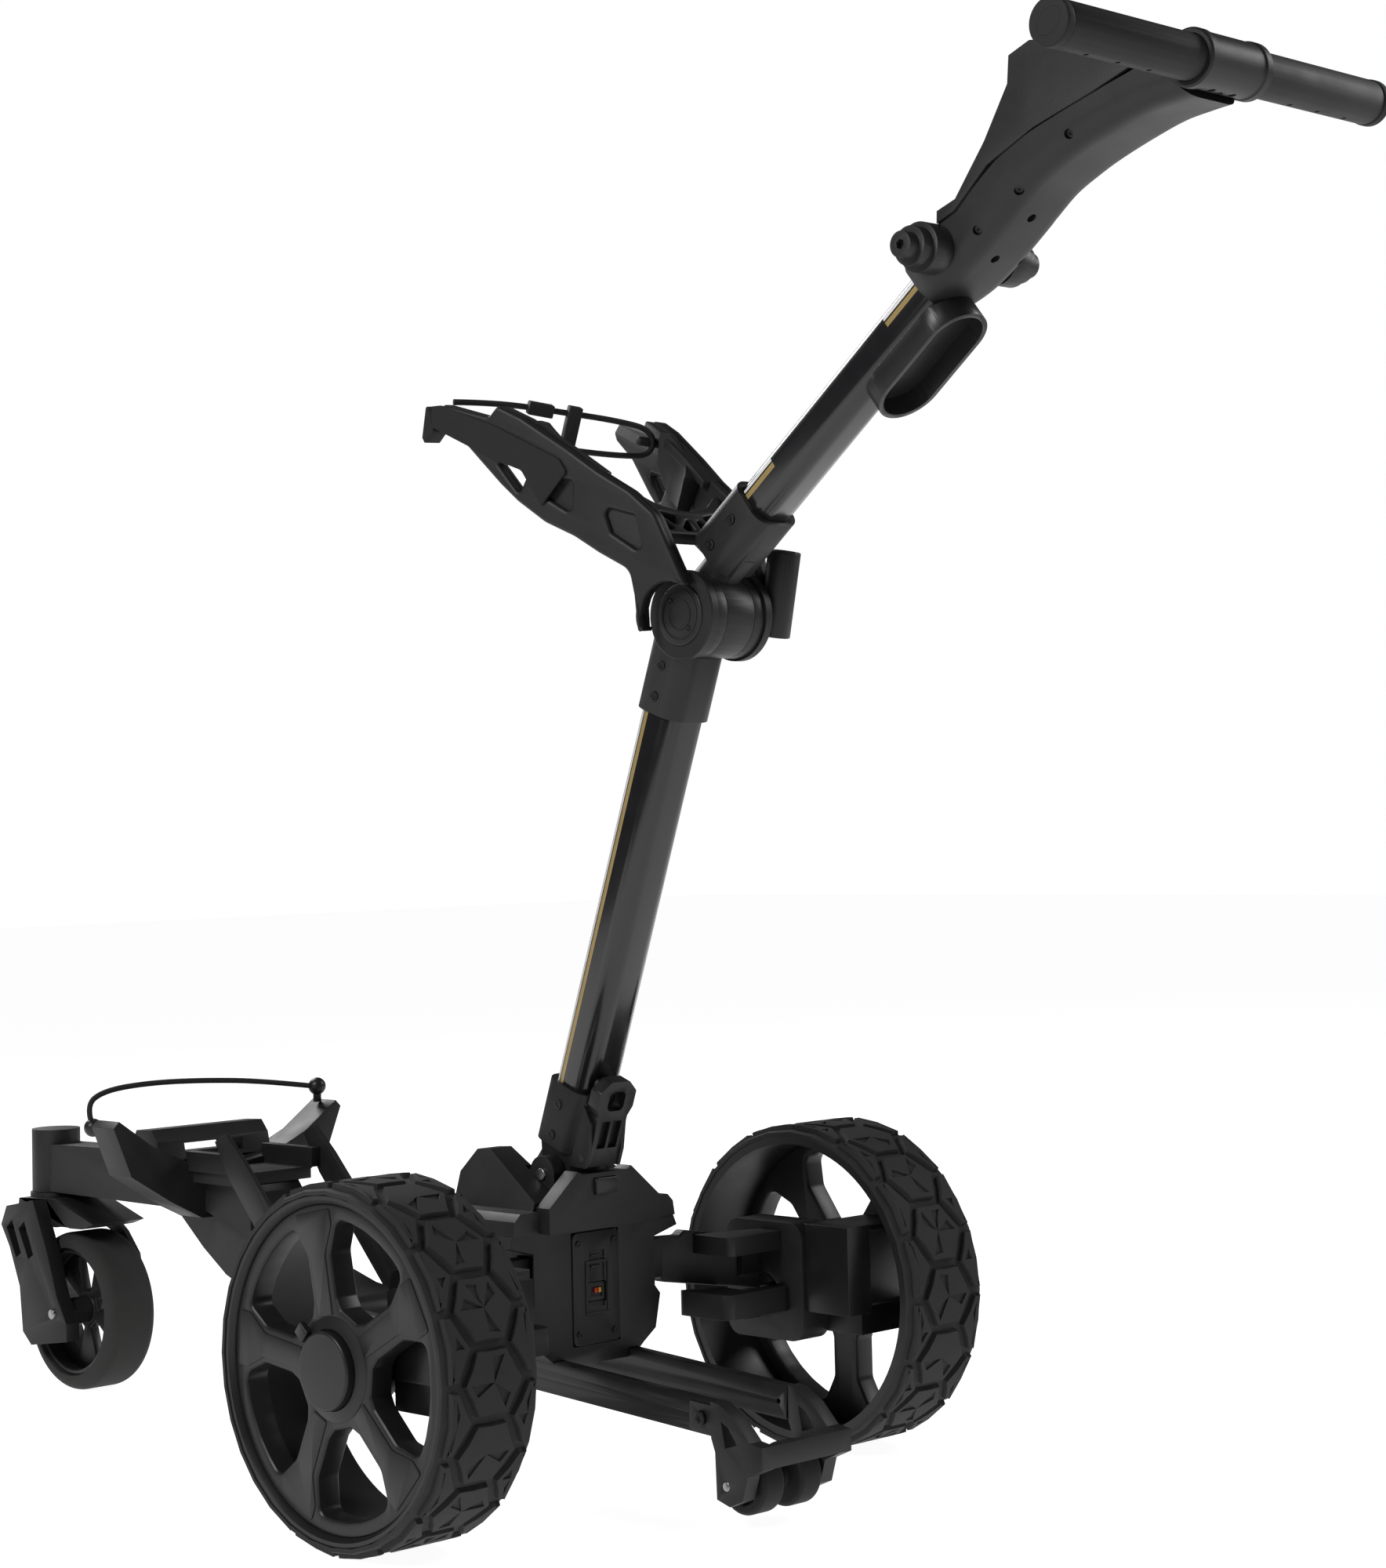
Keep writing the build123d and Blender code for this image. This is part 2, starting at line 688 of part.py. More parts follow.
guard = side(
    [
        (head_y - 20, 178),
        (head_y - 40, 172),
        (head_y - 74, 151),
        (head_y - 94, 130),
        (head_y - 99, 106),
        (caster_y - 22, caster_z - 14),
        (caster_y + 20, caster_z - 14),
        (caster_y + 18, caster_z + 16),
        (head_y - 84, 116),
        (head_y - 78, 130),
        (head_y - 62, 146),
        (head_y - 20, 162),
    ],
    leg_in,
    leg_in + 6,
)
fork = crown + leg + guard + rod_z(stem_radius, crown_top - 4, head_high - 10, 0, head_y)
tyre_room = rod(caster_radius + 6, -leg_in, leg_in, caster_y, caster_z)
fork -= tyre_room
caster_pin_radius = 5.0
fork -= rod(caster_pin_radius, -90, 90, caster_y, caster_z)
nodes["caster_fork"] = fork
nodes["caster_axle"] = rod(caster_pin_radius, -leg_out - 2, leg_in + 8, caster_y, caster_z)
caster_tyre = rod(caster_radius, -caster_width / 2, caster_width / 2, caster_y, caster_z)
caster_tyre = fillet(caster_tyre.edges().filter_by(GeomType.CIRCLE), 12)
caster_rim_radius = caster_radius - 15
nodes["caster_tyre"] = caster_tyre - rod(caster_rim_radius, -60, 60, caster_y, caster_z)
caster_rim = rod(caster_rim_radius - 0.1, -caster_width / 2 + 4, caster_width / 2 - 4, caster_y, caster_z)
caster_rim -= rod(caster_rim_radius - 5, -40, -5, caster_y, caster_z)
caster_rim -= rod(caster_rim_radius - 5, 5, 40, caster_y, caster_z)
for index in range(5):
    window = side([(18, -6), (48, -15), (52, 0), (48, 15), (18, 6)], -10, 10)
    caster_rim -= Pos(0, caster_y, caster_z) * Rot(index * 72 + 18, 0, 0) * window
caster_rim += rod(13, -leg_in + 1, leg_in - 1, caster_y, caster_z)
nodes["caster_rim"] = caster_rim - rod(caster_pin_radius + run_gap, -60, 60, caster_y, caster_z)

# ---------------------------------------------------------------- mast: socket, latch, tube, drum
socket_wall = 3.0
socket_half = tube_size / 2 + socket_wall
socket_front = tube_setoff + tube_depth / 2 + 4.5
socket_rear = tube_setoff - tube_depth / 2 - 3.0
socket_top = 75.0
eye_radius = 19.0
eye_half = 20.0
socket = rod(eye_radius, -eye_half, eye_half)
socket_foot = [
    (-10, 8),
    (-11, 22),
    (socket_rear, 34),
    (socket_rear, 44),
    (24, 44),
    (26, 24),
    (eye_radius - 2, 4),
]
socket += side(socket_foot, -eye_half, eye_half)
socket_depth = socket_front - socket_rear
socket += rounded_bar(2 * socket_half, socket_depth, 14, 22, socket_top, (socket_front + socket_rear) / 2)
bore_size = tube_size + 2 * seat_gap
bore_depth = tube_depth + 2 * seat_gap
tube_bore = rounded_bar(bore_size, bore_depth, tube_corner, 38, socket_top + 1, tube_setoff)
lever_half = 16.0
cheek_outline = [(-33, 18), (-33, 33), (-28, 56), (-12, 70), (-4, 70), (-4, 22), (-12, 12)]
cheek = side(cheek_outline, lever_half + body_gap, eye_half)
socket += cheek + mirrored(cheek)
socket -= tube_bore
lever_pivot_y = -26.0
lever_pivot_z = 25.0
socket -= rod(4 + run_gap, -50, 50, lever_pivot_y, lever_pivot_z)
socket -= rod(mast_pin_radius + run_gap, -50, 50)
nodes["mast_socket"] = mast_frame * socket

lever = front(
    [
        (-lever_half, 18),
        (lever_half, 18),
        (lever_half, 62),
        (lever_half + 4, 70),
        (lever_half + 4, 84),
        (lever_half - 6, 93),
        (6 - lever_half, 93),
        (-lever_half - 4, 84),
        (-lever_half - 4, 70),
        (-lever_half, 62),
    ],
    -32,
    -20,
)
lever = fillet(lever.edges().filter_by(Axis.Y), 3)
eye_hole = block(7 - lever_half, lever_half - 7, -60, 0, 67, 84)
lever -= fillet(eye_hole.edges().filter_by(Axis.Y), 5)
lever -= block(5 - lever_half, -1.5, -60, -27, 34, 58)
lever -= block(1.5, lever_half - 5, -60, -27, 34, 58)
lever += rod(4, -eye_half, eye_half, lever_pivot_y, lever_pivot_z)
nodes["mast_latch"] = mast_frame * lever

lower_tube_end = mast_length - drum_radius - 6
lower_tube = rounded_bar(tube_size, tube_depth, tube_corner, 38.2, lower_tube_end, tube_setoff)
lower_tube -= rounded_bar(
    tube_size - 2 * tube_wall, tube_depth - 2 * tube_wall, tube_corner - tube_wall, 0, 900, tube_setoff
)
nodes["lower_tube"] = mast_frame * lower_tube

# Hinge drum: outer rings belong to the mast, the middle ring to the handle.
ring_in = 15.0
hinge_pin_radius = 7.0
clamp_low = mast_length - 88.0
clamp_depth = tube_depth + 2 * socket_wall + 2
clamp_bar = rounded_bar(2 * socket_half, clamp_depth, tube_corner + 2, clamp_low, mast_length - 14, tube_setoff)
clamp_bar -= rounded_bar(bore_size, bore_depth, tube_corner, clamp_low - 1, lower_tube_end + 0.4, tube_setoff)
clamp_bar -= rod(drum_radius + body_gap, -ring_in - body_gap, ring_in + body_gap, drum_local_y, mast_length)
ring = rod(drum_radius, ring_in + body_gap, drum_half, drum_local_y, mast_length)
lower_clamp = clamp_bar + ring + mirrored(ring)
lower_clamp += rod(hinge_pin_radius, -drum_half, drum_half, drum_local_y, mast_length)
nodes["lower_clamp"] = mast_frame * lower_clamp
flange_thick = 8.0
cap_local = rod(25, drum_half + 0.1, drum_half + flange_thick + 1.5)
nodes["drum_caps"] = cradle_frame * Compound([cap_local, mirrored(cap_local)])

# ---------------------------------------------------------------- upper cradle on the drum
arm_splay = 12.5
arm_root_x = drum_half + 0.2
arm_wide = 15.0
arm_offset = 11.0  # cradle arm outside the drum's side face
arm_profile = [
    (-20, 10),
    (4, 40),
    (40, 82),
    (66, 86),
    (96, 82),
    (150, 112),
    (176, 122),
    (214, 108),
    (262, 112),
    (268, 96),
    (206, 72),
    (120, 42),
    (60, 26),
    (36, 6),
    (22, -22),
]
cradle_arm = side(arm_profile, 0, arm_wide)
cradle_arm -= side([(196, 96), (160, 84), (128, 62), (136, 60), (200, 82), (236, 94)], -1, arm_wide + 1)
cradle_arm = Pos(arm_root_x + arm_offset, 0, 0) * Rot(0, 0, -arm_splay) * cradle_arm
flange = rod(drum_radius + 2, arm_root_x, arm_root_x + flange_thick) - rod(25.3, 0, 90)
flange_cut = rod(25.3, 0, 90)
cradle_side = flange + (cradle_arm - flange_cut - block(0, arm_root_x, -200, 400, -200, 400))
web = side([(26, 44), (32, 66), (74, 82), (84, 76), (76, 62), (48, 50)], -56, 56)
web_round = rod_z(62, 0, 200, 0, 118)
for x_low, x_high, y_low, y_high in ((-44, -24, 44, 62), (-18, -2, 40, 54), (2, 18, 40, 54), (24, 44, 44, 62)):
    web -= block(x_low, x_high, y_low, y_high, 0, 120)
cradle = cradle_side + mirrored(cradle_side) + (web - web_round)
cradle -= rod(drum_radius + 8, -arm_root_x + 0.1, arm_root_x - 0.1)
accessory_radius = 13.5
accessory_x = drum_half + flange_thick + 17
cradle -= Rot(-8, 0, 0) * rod_z(accessory_radius + 0.05, -12.1, 60, accessory_x, -22)
nodes["upper_cradle"] = cradle_frame * cradle


def pad(sign):
    """Curved rubber pad that the bag leans on, on the inner face of a cradle arm."""
    points = [(110, 88), (132, 98), (166, 114), (177, 113), (172, 84), (150, 62), (116, 58)]
    rubber = side(points, -19, -0.2)
    rubber -= Pos(-70, 0, 0) * rod_z(66, 0, 300, 0, 150)
    rubber = Pos(arm_root_x + arm_offset, 0, 0) * Rot(0, 0, -arm_splay) * rubber
    return rubber if sign > 0 else mirrored(rubber)


nodes["cradle_pad_right"] = cradle_frame * pad(1)
nodes["cradle_pad_left"] = cradle_frame * pad(-1)

# Webbing strap round the left arm, a flat band a little outside it.
strap_thick = 2.0
strap_points = [(112, 84), (140, 100), (268, 108), (278, 72), (224, 66), (128, 46)]
band = side(strap_points, -arm_wide - strap_thick - 1, -arm_wide - 1)
band = Pos(-arm_root_x - arm_offset, 0, 0) * Rot(0, 0, arm_splay) * band
nodes["cradle_strap"] = cradle_frame * band

# Accessory tube beside the drum, on the right.
accessory_bore = 10.5
accessory = rod_z(accessory_radius, -12, 58, accessory_x, -22)
accessory -= rod_z(accessory_bore, -6, 59, accessory_x, -22)
nodes["accessory_tube"] = cradle_frame * Rot(-8, 0, 0) * accessory

# Screws of the mast: two a side in each socket, low enough to pass between the shoulders.
mast_screw_height = 1.0
mast_screws = [
    mast_frame * screw_x(s * half, y, z, 4.2, s, mast_screw_height, 0.6)
    for s in (-1, 1)
    for half, y, z in (
        (socket_half, 8, 31),
        (socket_half, 8, 58),
        (socket_half, tube_setoff, clamp_low + 14),
        (socket_half, tube_setoff, clamp_low + 40),
    )
]
nodes["mast_screws"] = Compound(mast_screws)

# ---------------------------------------------------------------- handle: drum centre, tube, console, bar
clamp_high = 103.0
clamp_half = handle_tube / 2 + 4.5
hub_ring = rod(drum_radius, -ring_in, ring_in)
neck = rounded_bar(2 * ring_in, drum_radius - 2, 12, 14, 60, handle_setoff - 8)
neck += rounded_bar(2 * clamp_half, handle_tube_depth + 9, 14, drum_radius + 8, clamp_high, handle_setoff)
handle_tube_start = drum_radius + 14.0
handle_room = handle_tube + 2 * seat_gap
handle_room_depth = handle_tube_depth + 2 * seat_gap
neck -= rounded_bar(
    handle_room, handle_room_depth, 13, handle_tube_start - 0.4, clamp_high + 1, handle_setoff
)
upper_clamp = hub_ring + neck - rod(hinge_pin_radius + run_gap, -90, 90)
nodes["upper_clamp"] = handle_frame * upper_clamp
upper_tube = rounded_bar(
    handle_tube, handle_tube_depth, 13, handle_tube_start, console_start + 60, handle_setoff
)
upper_tube -= rounded_bar(handle_tube - 4, handle_tube_depth - 4, 11, 0, 900, handle_setoff)
nodes["upper_tube"] = handle_frame * upper_tube
handle_screws = [
    screw_x(s * clamp_half, handle_setoff, z, 4.2, s) for s in (-1, 1) for z in (clamp_high - 50, clamp_high - 20)
]
nodes["handle_screws"] = handle_frame * Compound(handle_screws)

# Console: a lower moulding, a hood over it, and a saddle clamped round the handlebar.
console_half = 36.0
hood_half = console_half + 2
base_points = [
    (8, console_start),
    (3, console_start + 60),
    (4, console_start + 124),
    (-8, console_start + 176),
    (-28, console_start + 228),
    (-bar_drop - 20, bar_reach - 22),
    (-bar_drop - 21, bar_reach - 4),
    (-bar_drop - 12, bar_reach + 16),
    (-bar_drop + 2, bar_reach + 21),
    (-bar_drop + 16, bar_reach + 15),
    (-bar_drop + 22, bar_reach - 6),
    (8, console_start + 214),
    (29, console_start + 160),
    (40, console_start + 113),
    (37, console_start + 70),
    (42, console_start + 52),
    (48, console_start + 36),
    (48, console_start),
]
console_base = side(base_points, -console_half, console_half)
base_taper = front(
    [(clamp_half + 2, console_start - 1), (60, console_start - 1), (60, console_start + 50)], -100, 100
)
console_base = console_base - base_taper - mirrored(base_taper)
tube_room = rounded_bar(handle_room, handle_room_depth, 13, 0, console_start + 60.4, handle_setoff)
console_base -= tube_room
bar_room = rod(bar_radius + 0.1, -300, 300, -bar_drop, bar_reach)
console_base -= bar_room
hood_points = [
    (42, console_start + 52),
    (49, console_start + 58),
    (43, console_start + 76),
    (55, console_start + 122),
    (71, console_start + 164),
    (86, console_start + 178),
    (80, console_start + 198),
    (8, bar_reach - 14),
    (-bar_drop + 23, bar_reach - 2),
    (-bar_drop + 22, bar_reach - 8),
    (8, console_start + 214),
    (29, console_start + 160),
    (40, console_start + 113),
    (37, console_start + 70),
]
hood = side(hood_points, -hood_half, hood_half)
display_outline = [
    (100, console_start + 184),
    (76, console_start + 180),
    (14, bar_reach - 32),
    (22, bar_reach - 10),
    (90, console_start + 240),
]
hood -= side(display_outline, 4 - hood_half, hood_half - 4)
hood -= console_base
hood -= tube_room
hood -= bar_room
nodes["console_base"] = handle_frame * console_base
power_radius = 8.0
display_tilt = math.degrees(math.atan2(68, bar_reach - 30 - console_start - 180))
power_at = Pos(0, 20, bar_reach - 38) * Rot(-(90 - display_tilt), 0, 0)
hood -= power_at * rod_z(power_radius + slide_gap, -7, 30)
nodes["console_hood"] = handle_frame * hood
nodes["power_button"] = handle_frame * (power_at * rod_z(power_radius, -4, 6))
handlebar = rod(bar_radius, -bar_half + 8, bar_half - 8, -bar_drop, bar_reach)
nodes["handlebar"] = handle_frame * handlebar
end_cap = rod(bar_radius + 0.6, bar_half - 7.9, bar_half, -bar_drop, bar_reach)
end_cap = fillet(end_cap.edges().filter_by(GeomType.CIRCLE), 1.5)
nodes["bar_caps"] = handle_frame * Compound([end_cap, mirrored(end_cap)])

post_y = 30.0
post_z = console_start + 37
post = rod(19, 24, 54, post_y, post_z) + rod(15, 53, 64, post_y, post_z)
post += rod(10, 63, post_half, post_y, post_z)
post -= Pos(post_half - 5, post_y, post_z) * Rot(0, 90, 0) * extrude(RegularPolygon(4, 6), 12)
post -= console_base
post -= tube_room
nodes["accessory_posts"] = handle_frame * Compound([post, mirrored(post)])

holder_mid = console_start - 40
holder = Pos(0, 0, holder_mid) * Rot(90, 0, 0) * extrude(SlotOverall(112, 56, rotation=90), 20)
holder -= Pos(0, -3, holder_mid) * Rot(90, 0, 0) * extrude(SlotOverall(104, 48, rotation=90), 30)
holder = Pos(0, handle_setoff - handle_tube_depth / 2 - 0.3, 0) * holder - console_base
nodes["remote_holder"] = handle_frame * holder

# ---------------------------------------------------------------- bungees and their fittings
bungee_radius = 2.6


def cord(points, name):
    """Cord of straight runs joined by arcs, each as large as its two runs allow."""
    radii = []
    for before, here, after in zip(points, points[1:], points[2:]):
        run_in = Vector(*here) - Vector(*before)
        run_out = Vector(*after) - Vector(*here)
        turn = math.radians(run_in.get_angle(run_out))
        radii.append(0.45 * min(run_in.length, run_out.length) / math.tan(turn / 2))
    print(name, "radii", [round(r, 1) for r in radii])
    path = FilletPolyline(*points, radius=radii)
    start = Plane(origin=points[0], z_dir=Vector(*points[1]) - Vector(*points[0]))
    swept = sweep(start * Circle(bungee_radius), path=path)
    share = swept.volume / (math.pi * bungee_radius**2 * path.length)
    print(name, "length", round(path.length, 1), "volume ratio", round(share, 4))
    return swept


def cradle_point(x, along, up):
    """Point given in the upper cradle's frame."""
    return (
        x,
        drum_y + along * math.cos(mast_angle) - up * math.sin(mast_angle),
        drum_z + along * math.sin(mast_angle) + up * math.cos(mast_angle),
    )


upper_route = [
    cradle_point(-95, 256, 106),
    cradle_point(-60, 241, 112),
    cradle_point(-12, 216, 114),
    cradle_point(36, 196, 115),
    cradle_point(68, 184, 112),
    cradle_point(71, 182, 90),
    cradle_point(38, 190, 86),
    cradle_point(-12, 208, 84),
    cradle_point(-60, 226, 86),
    cradle_point(-91, 237, 91),
]
nodes["upper_bungee"] = cord(upper_route, "upper_bungee")
link_bar = cradle_frame * (Pos(-2, 209.5, 99) * Rot(0, 0, -24) * Box(12, 9, 44))
link_block = cradle_frame * (Pos(-30, 221, 113.5) * Rot(0, 0, -26) * Box(22, 10, 11))
hook_stud = Pos(arm_root_x + arm_offset, 0, 0) * Rot(0, 0, -arm_splay) * rod(4, -22, -0.2, 188, 101)
hook_stud = cradle_frame * hook_stud
nodes["bungee_links"] = Compound([link_bar, link_block, hook_stud])

wing_y = saddle_y + saddle_depth
anchor_y = wing_y + 11
lower_route = [
    (-122, anchor_y, saddle_tip - 8),
    (-127, anchor_y + 5, saddle_tip + 12),
    (-108, anchor_y + 3, saddle_tip + 25),
    (-60, anchor_y - 4, saddle_tip + 29),
    (0, anchor_y - 9, saddle_tip + 27),
    (60, anchor_y - 17, saddle_tip + 22),
    (116, anchor_y - 27, saddle_tip + 13),
]
nodes["lower_bungee"] = cord(lower_route, "lower_bungee")
left_anchor = rod_y(5, wing_y + 0.2, anchor_y, -122, saddle_tip - 8)
left_anchor += Pos(-122, anchor_y, saddle_tip - 8) * Sphere(8.5)
left_anchor -= block(-140, -100, wing_y - 9, wing_y + 0.2, 260, 290)
right_knob = rod_z(4, saddle_tip - 2, saddle_tip + 13, 118, anchor_y - 27)
right_knob += Pos(118, anchor_y - 27, saddle_tip + 13) * Sphere(8.5)
right_knob -= saddle
nodes["bungee_fittings"] = Compound([left_anchor, right_knob])

for name in list(nodes):
    part = nodes[name]
    if isinstance(part, Compound) and len(part.solids()) == 1:
        nodes[name] = part.solid()

# ---------------------------------------------------------------- move to the row origin and write
whole = Compound(list(nodes.values()))
bounds = whole.bounding_box()
origin_y = (bounds.min.Y + bounds.max.Y) / 2
print("origin_y", round(origin_y, 3), "size", bounds.size, "low", bounds.min, "nodes", len(nodes))
os.makedirs("parts", exist_ok=True)
for name, part in nodes.items():
    export_step(Pos(0, -origin_y, 0) * part, f"parts/{name}.step")
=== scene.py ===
"""Looks of the electric golf trolley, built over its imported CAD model.

Everything is in metres in the model's own frame: X to the right, Y forward, Z up from the ground.
"""

import bmesh
import bpy
import json
import math
from mathutils import Matrix, Vector


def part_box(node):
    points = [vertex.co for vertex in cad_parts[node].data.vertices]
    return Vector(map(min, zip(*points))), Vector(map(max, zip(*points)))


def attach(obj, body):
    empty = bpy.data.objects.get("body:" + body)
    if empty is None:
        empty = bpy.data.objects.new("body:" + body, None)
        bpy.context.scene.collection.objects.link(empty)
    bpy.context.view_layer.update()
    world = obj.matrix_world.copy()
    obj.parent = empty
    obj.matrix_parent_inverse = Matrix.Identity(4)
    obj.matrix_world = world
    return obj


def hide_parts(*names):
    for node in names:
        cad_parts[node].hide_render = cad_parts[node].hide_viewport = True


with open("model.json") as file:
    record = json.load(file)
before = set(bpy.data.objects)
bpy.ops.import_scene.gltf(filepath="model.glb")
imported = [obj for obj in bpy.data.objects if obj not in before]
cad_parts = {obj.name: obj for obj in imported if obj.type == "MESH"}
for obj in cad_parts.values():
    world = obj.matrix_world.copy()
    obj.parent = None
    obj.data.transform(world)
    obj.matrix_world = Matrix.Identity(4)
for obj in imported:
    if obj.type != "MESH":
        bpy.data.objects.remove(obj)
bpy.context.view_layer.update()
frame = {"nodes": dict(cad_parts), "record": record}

# ---- Camera, light and floor -------------------------------------------------------------------
# The trolley stands on a plain pale floor. The camera looks from behind on its left, at half the
# handle's height, and large soft lamps give the dark mouldings their pale edges.
rear_axle = (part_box("tyre_right")[0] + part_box("tyre_left")[1]) / 2
rear_axle.x = 0.0

yaw, pitch, roll = 0.7828, 0.063, -0.0241
ahead = Vector((math.cos(pitch) * math.sin(yaw), math.cos(pitch) * math.cos(yaw), math.sin(pitch)))
level = Vector((math.cos(yaw), -math.sin(yaw), 0.0))
above = level.cross(ahead)
to_right = level * math.cos(roll) + above * math.sin(roll)
to_top = above * math.cos(roll) - level * math.sin(roll)
eye = Vector((-1.7678, -1.90705 + rear_axle.y, 0.54965))
camera_data = bpy.data.cameras.new("camera")
camera_data.sensor_fit = "VERTICAL"
camera_data.sensor_height = 36.0
camera_data.lens = 71.69
camera_data.shift_x = -0.01247
camera_data.shift_y = -0.10435
camera_data.clip_end = 60.0
camera = bpy.data.objects.new("camera", camera_data)
camera.matrix_world = Matrix(
    (
        (to_right.x, to_top.x, -ahead.x, eye.x),
        (to_right.y, to_top.y, -ahead.y, eye.y),
        (to_right.z, to_top.z, -ahead.z, eye.z),
        (0.0, 0.0, 0.0, 1.0),
    )
)
bpy.context.scene.collection.objects.link(camera)
bpy.context.scene.camera = camera

for name, place, size, power in (
    ("key", (-3.0, 0.0, 2.6), 1.3, 85.0),
    ("back", (0.6, 3.2, 2.6), 1.8, 80.0),
    ("right", (2.8, -1.4, 2.2), 1.3, 36.0),
):
    lamp_data = bpy.data.lights.new(name, "AREA")
    lamp_data.shape = "DISK"
    lamp_data.size = size
    lamp_data.energy = power
    lamp = bpy.data.objects.new(name, lamp_data)
    lamp.matrix_world = Matrix.Translation(place) @ (
        (Vector((0.0, 0.0, 0.45)) - Vector(place)).to_track_quat("-Z", "Y").to_matrix().to_4x4()
    )
    bpy.context.scene.collection.objects.link(lamp)

world = bpy.data.worlds.new("studio")
world.use_nodes = True
dim_walls = world.node_tree.nodes["Background"]
dim_walls.inputs["Strength"].default_value = 0.08
white_wall = world.node_tree.nodes.new("ShaderNodeBackground")
white_wall.inputs["Color"].default_value = (1.0, 1.0, 1.0, 1.0)
seen = world.node_tree.nodes.new("ShaderNodeLightPath")
wall = world.node_tree.nodes.new("ShaderNodeMixShader")
world.node_tree.links.new(seen.outputs["Is Camera Ray"], wall.inputs["Fac"])
world.node_tree.links.new(dim_walls.outputs["Background"], wall.inputs[1])
world.node_tree.links.new(white_wall.outputs["Background"], wall.inputs[2])
world.node_tree.links.new(wall.outputs["Shader"], world.node_tree.nodes["World Output"].inputs["Surface"])
dim_walls.inputs["Color"].default_value = (1.0, 1.0, 1.0, 1.0)
bpy.context.scene.world = world
bpy.context.scene.view_settings.view_transform = "Standard"

floor_shape = bmesh.new()
bmesh.ops.create_grid(floor_shape, x_segments=1, y_segments=1, size=14.0)
floor_mesh = bpy.data.meshes.new("floor")
floor_shape.to_mesh(floor_mesh)
floor_shape.free()
floor = bpy.data.objects.new("floor", floor_mesh)
bpy.context.scene.collection.objects.link(floor)
floor_paint = bpy.data.materials.new("floor_paint")
floor_paint.use_nodes = True
floor_shader = floor_paint.node_tree.nodes["Principled BSDF"]
floor_shader.inputs["Base Color"].default_value = (0.28, 0.28, 0.28, 1.0)
floor_shader.inputs["Roughness"].default_value = 0.95
floor_shader.inputs["Emission Color"].default_value = (1.0, 1.0, 1.0, 1.0)
floor_shader.inputs["Emission Strength"].default_value = 0.95
floor_mesh.materials.append(floor_paint)

# ---- Elastic cords ------------------------------------------------------------------------------
# Two black elastic cords in a woven cover hold the bag: one is doubled between the arms of the upper
# cradle, and the other runs across the saddle. Their ends go into the mouldings and the ball anchors.
body_of = {node: body for body, nodes in frame["record"]["behaviour"]["bodies"].items() for node in nodes}
joint_at = {
    joint["name"]: Vector(joint["pos_m"])
    for joint in frame["record"]["behaviour"]["joints"]
    if "pos_m" in joint
}
mast_lean = math.radians(20.4)
handle_lean = math.radians(52.4)


def leaning(pivot, lean):
    """Frame at a pivot whose Z axis runs up a tube that leans back by this angle."""
    return Matrix.Translation(pivot) @ Matrix.Rotation(lean, 4, "X")


mast_place = leaning(joint_at["mast_fold"], mast_lean)
drum_centre = Vector((0.0, joint_at["handle_fold"].y, joint_at["handle_fold"].z))
cradle_place = leaning(drum_centre, mast_lean)
handle_place = leaning(drum_centre, handle_lean)


def grained(name, colour, roughness, grain_size, grain_depth, mottle=0.25, coat=0.0, metal=0.0):
    """Plastic, rubber or paint: an even colour with a slight mottle, and a fine grain in its surface."""
    finish = bpy.data.materials.new(name)
    finish.use_nodes = True
    nodes, links = finish.node_tree.nodes, finish.node_tree.links
    shader = nodes["Principled BSDF"]
    place = nodes.new("ShaderNodeTexCoord")
    cloud = nodes.new("ShaderNodeTexNoise")
    cloud.inputs["Scale"].default_value = 38.0
    cloud.inputs["Detail"].default_value = 3.0
    links.new(place.outputs["Object"], cloud.inputs["Vector"])
    tint = nodes.new("ShaderNodeMix")
    tint.data_type = "RGBA"
    tint.inputs["A"].default_value = (*[part * (1.0 - mottle) for part in colour], 1.0)
    tint.inputs["B"].default_value = (*[min(1.0, part * (1.0 + mottle)) for part in colour], 1.0)
    links.new(cloud.outputs["Fac"], tint.inputs["Factor"])
    links.new(tint.outputs["Result"], shader.inputs["Base Color"])
    grain = nodes.new("ShaderNodeTexNoise")
    grain.inputs["Scale"].default_value = 1.0 / grain_size
    grain.inputs["Detail"].default_value = 2.0
    links.new(place.outputs["Object"], grain.inputs["Vector"])
    sheen = nodes.new("ShaderNodeMapRange")
    sheen.inputs["To Min"].default_value = max(0.05, roughness - 0.08)
    sheen.inputs["To Max"].default_value = min(1.0, roughness + 0.08)
    links.new(cloud.outputs["Fac"], sheen.inputs["Value"])
    links.new(sheen.outputs["Result"], shader.inputs["Roughness"])
    relief = nodes.new("ShaderNodeBump")
    relief.inputs["Strength"].default_value = 0.6
    relief.inputs["Distance"].default_value = grain_depth
    links.new(grain.outputs["Fac"], relief.inputs["Height"])
    links.new(relief.outputs["Normal"], shader.inputs["Normal"])
    shader.inputs["Metallic"].default_value = metal
    shader.inputs["Specular IOR Level"].default_value = 0.5 if metal else 0.32
    shader.inputs["Coat Weight"].default_value = coat
    shader.inputs["Coat Roughness"].default_value = 0.15
    return finish


def shown(shape, name, finish, body, smooth_angle=35.0):
    """Object made of this bmesh, in this finish, that rides on this body."""
    bmesh.ops.recalc_face_normals(shape, faces=shape.faces)
    mesh = bpy.data.meshes.new(name)
    shape.to_mesh(mesh)
    shape.free()
    mesh.shade_smooth()
    mesh.set_sharp_from_angle(angle=math.radians(smooth_angle))
    mesh.materials.append(finish)
    piece = bpy.data.objects.new(name, mesh)
    bpy.context.scene.collection.objects.link(piece)
    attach(piece, body)
    return piece


woven_cover = grained("woven_cover", (0.012, 0.012, 0.013), 0.75, 0.0012, 0.0006, mottle=0.5)
cord_diameter = 0.0052


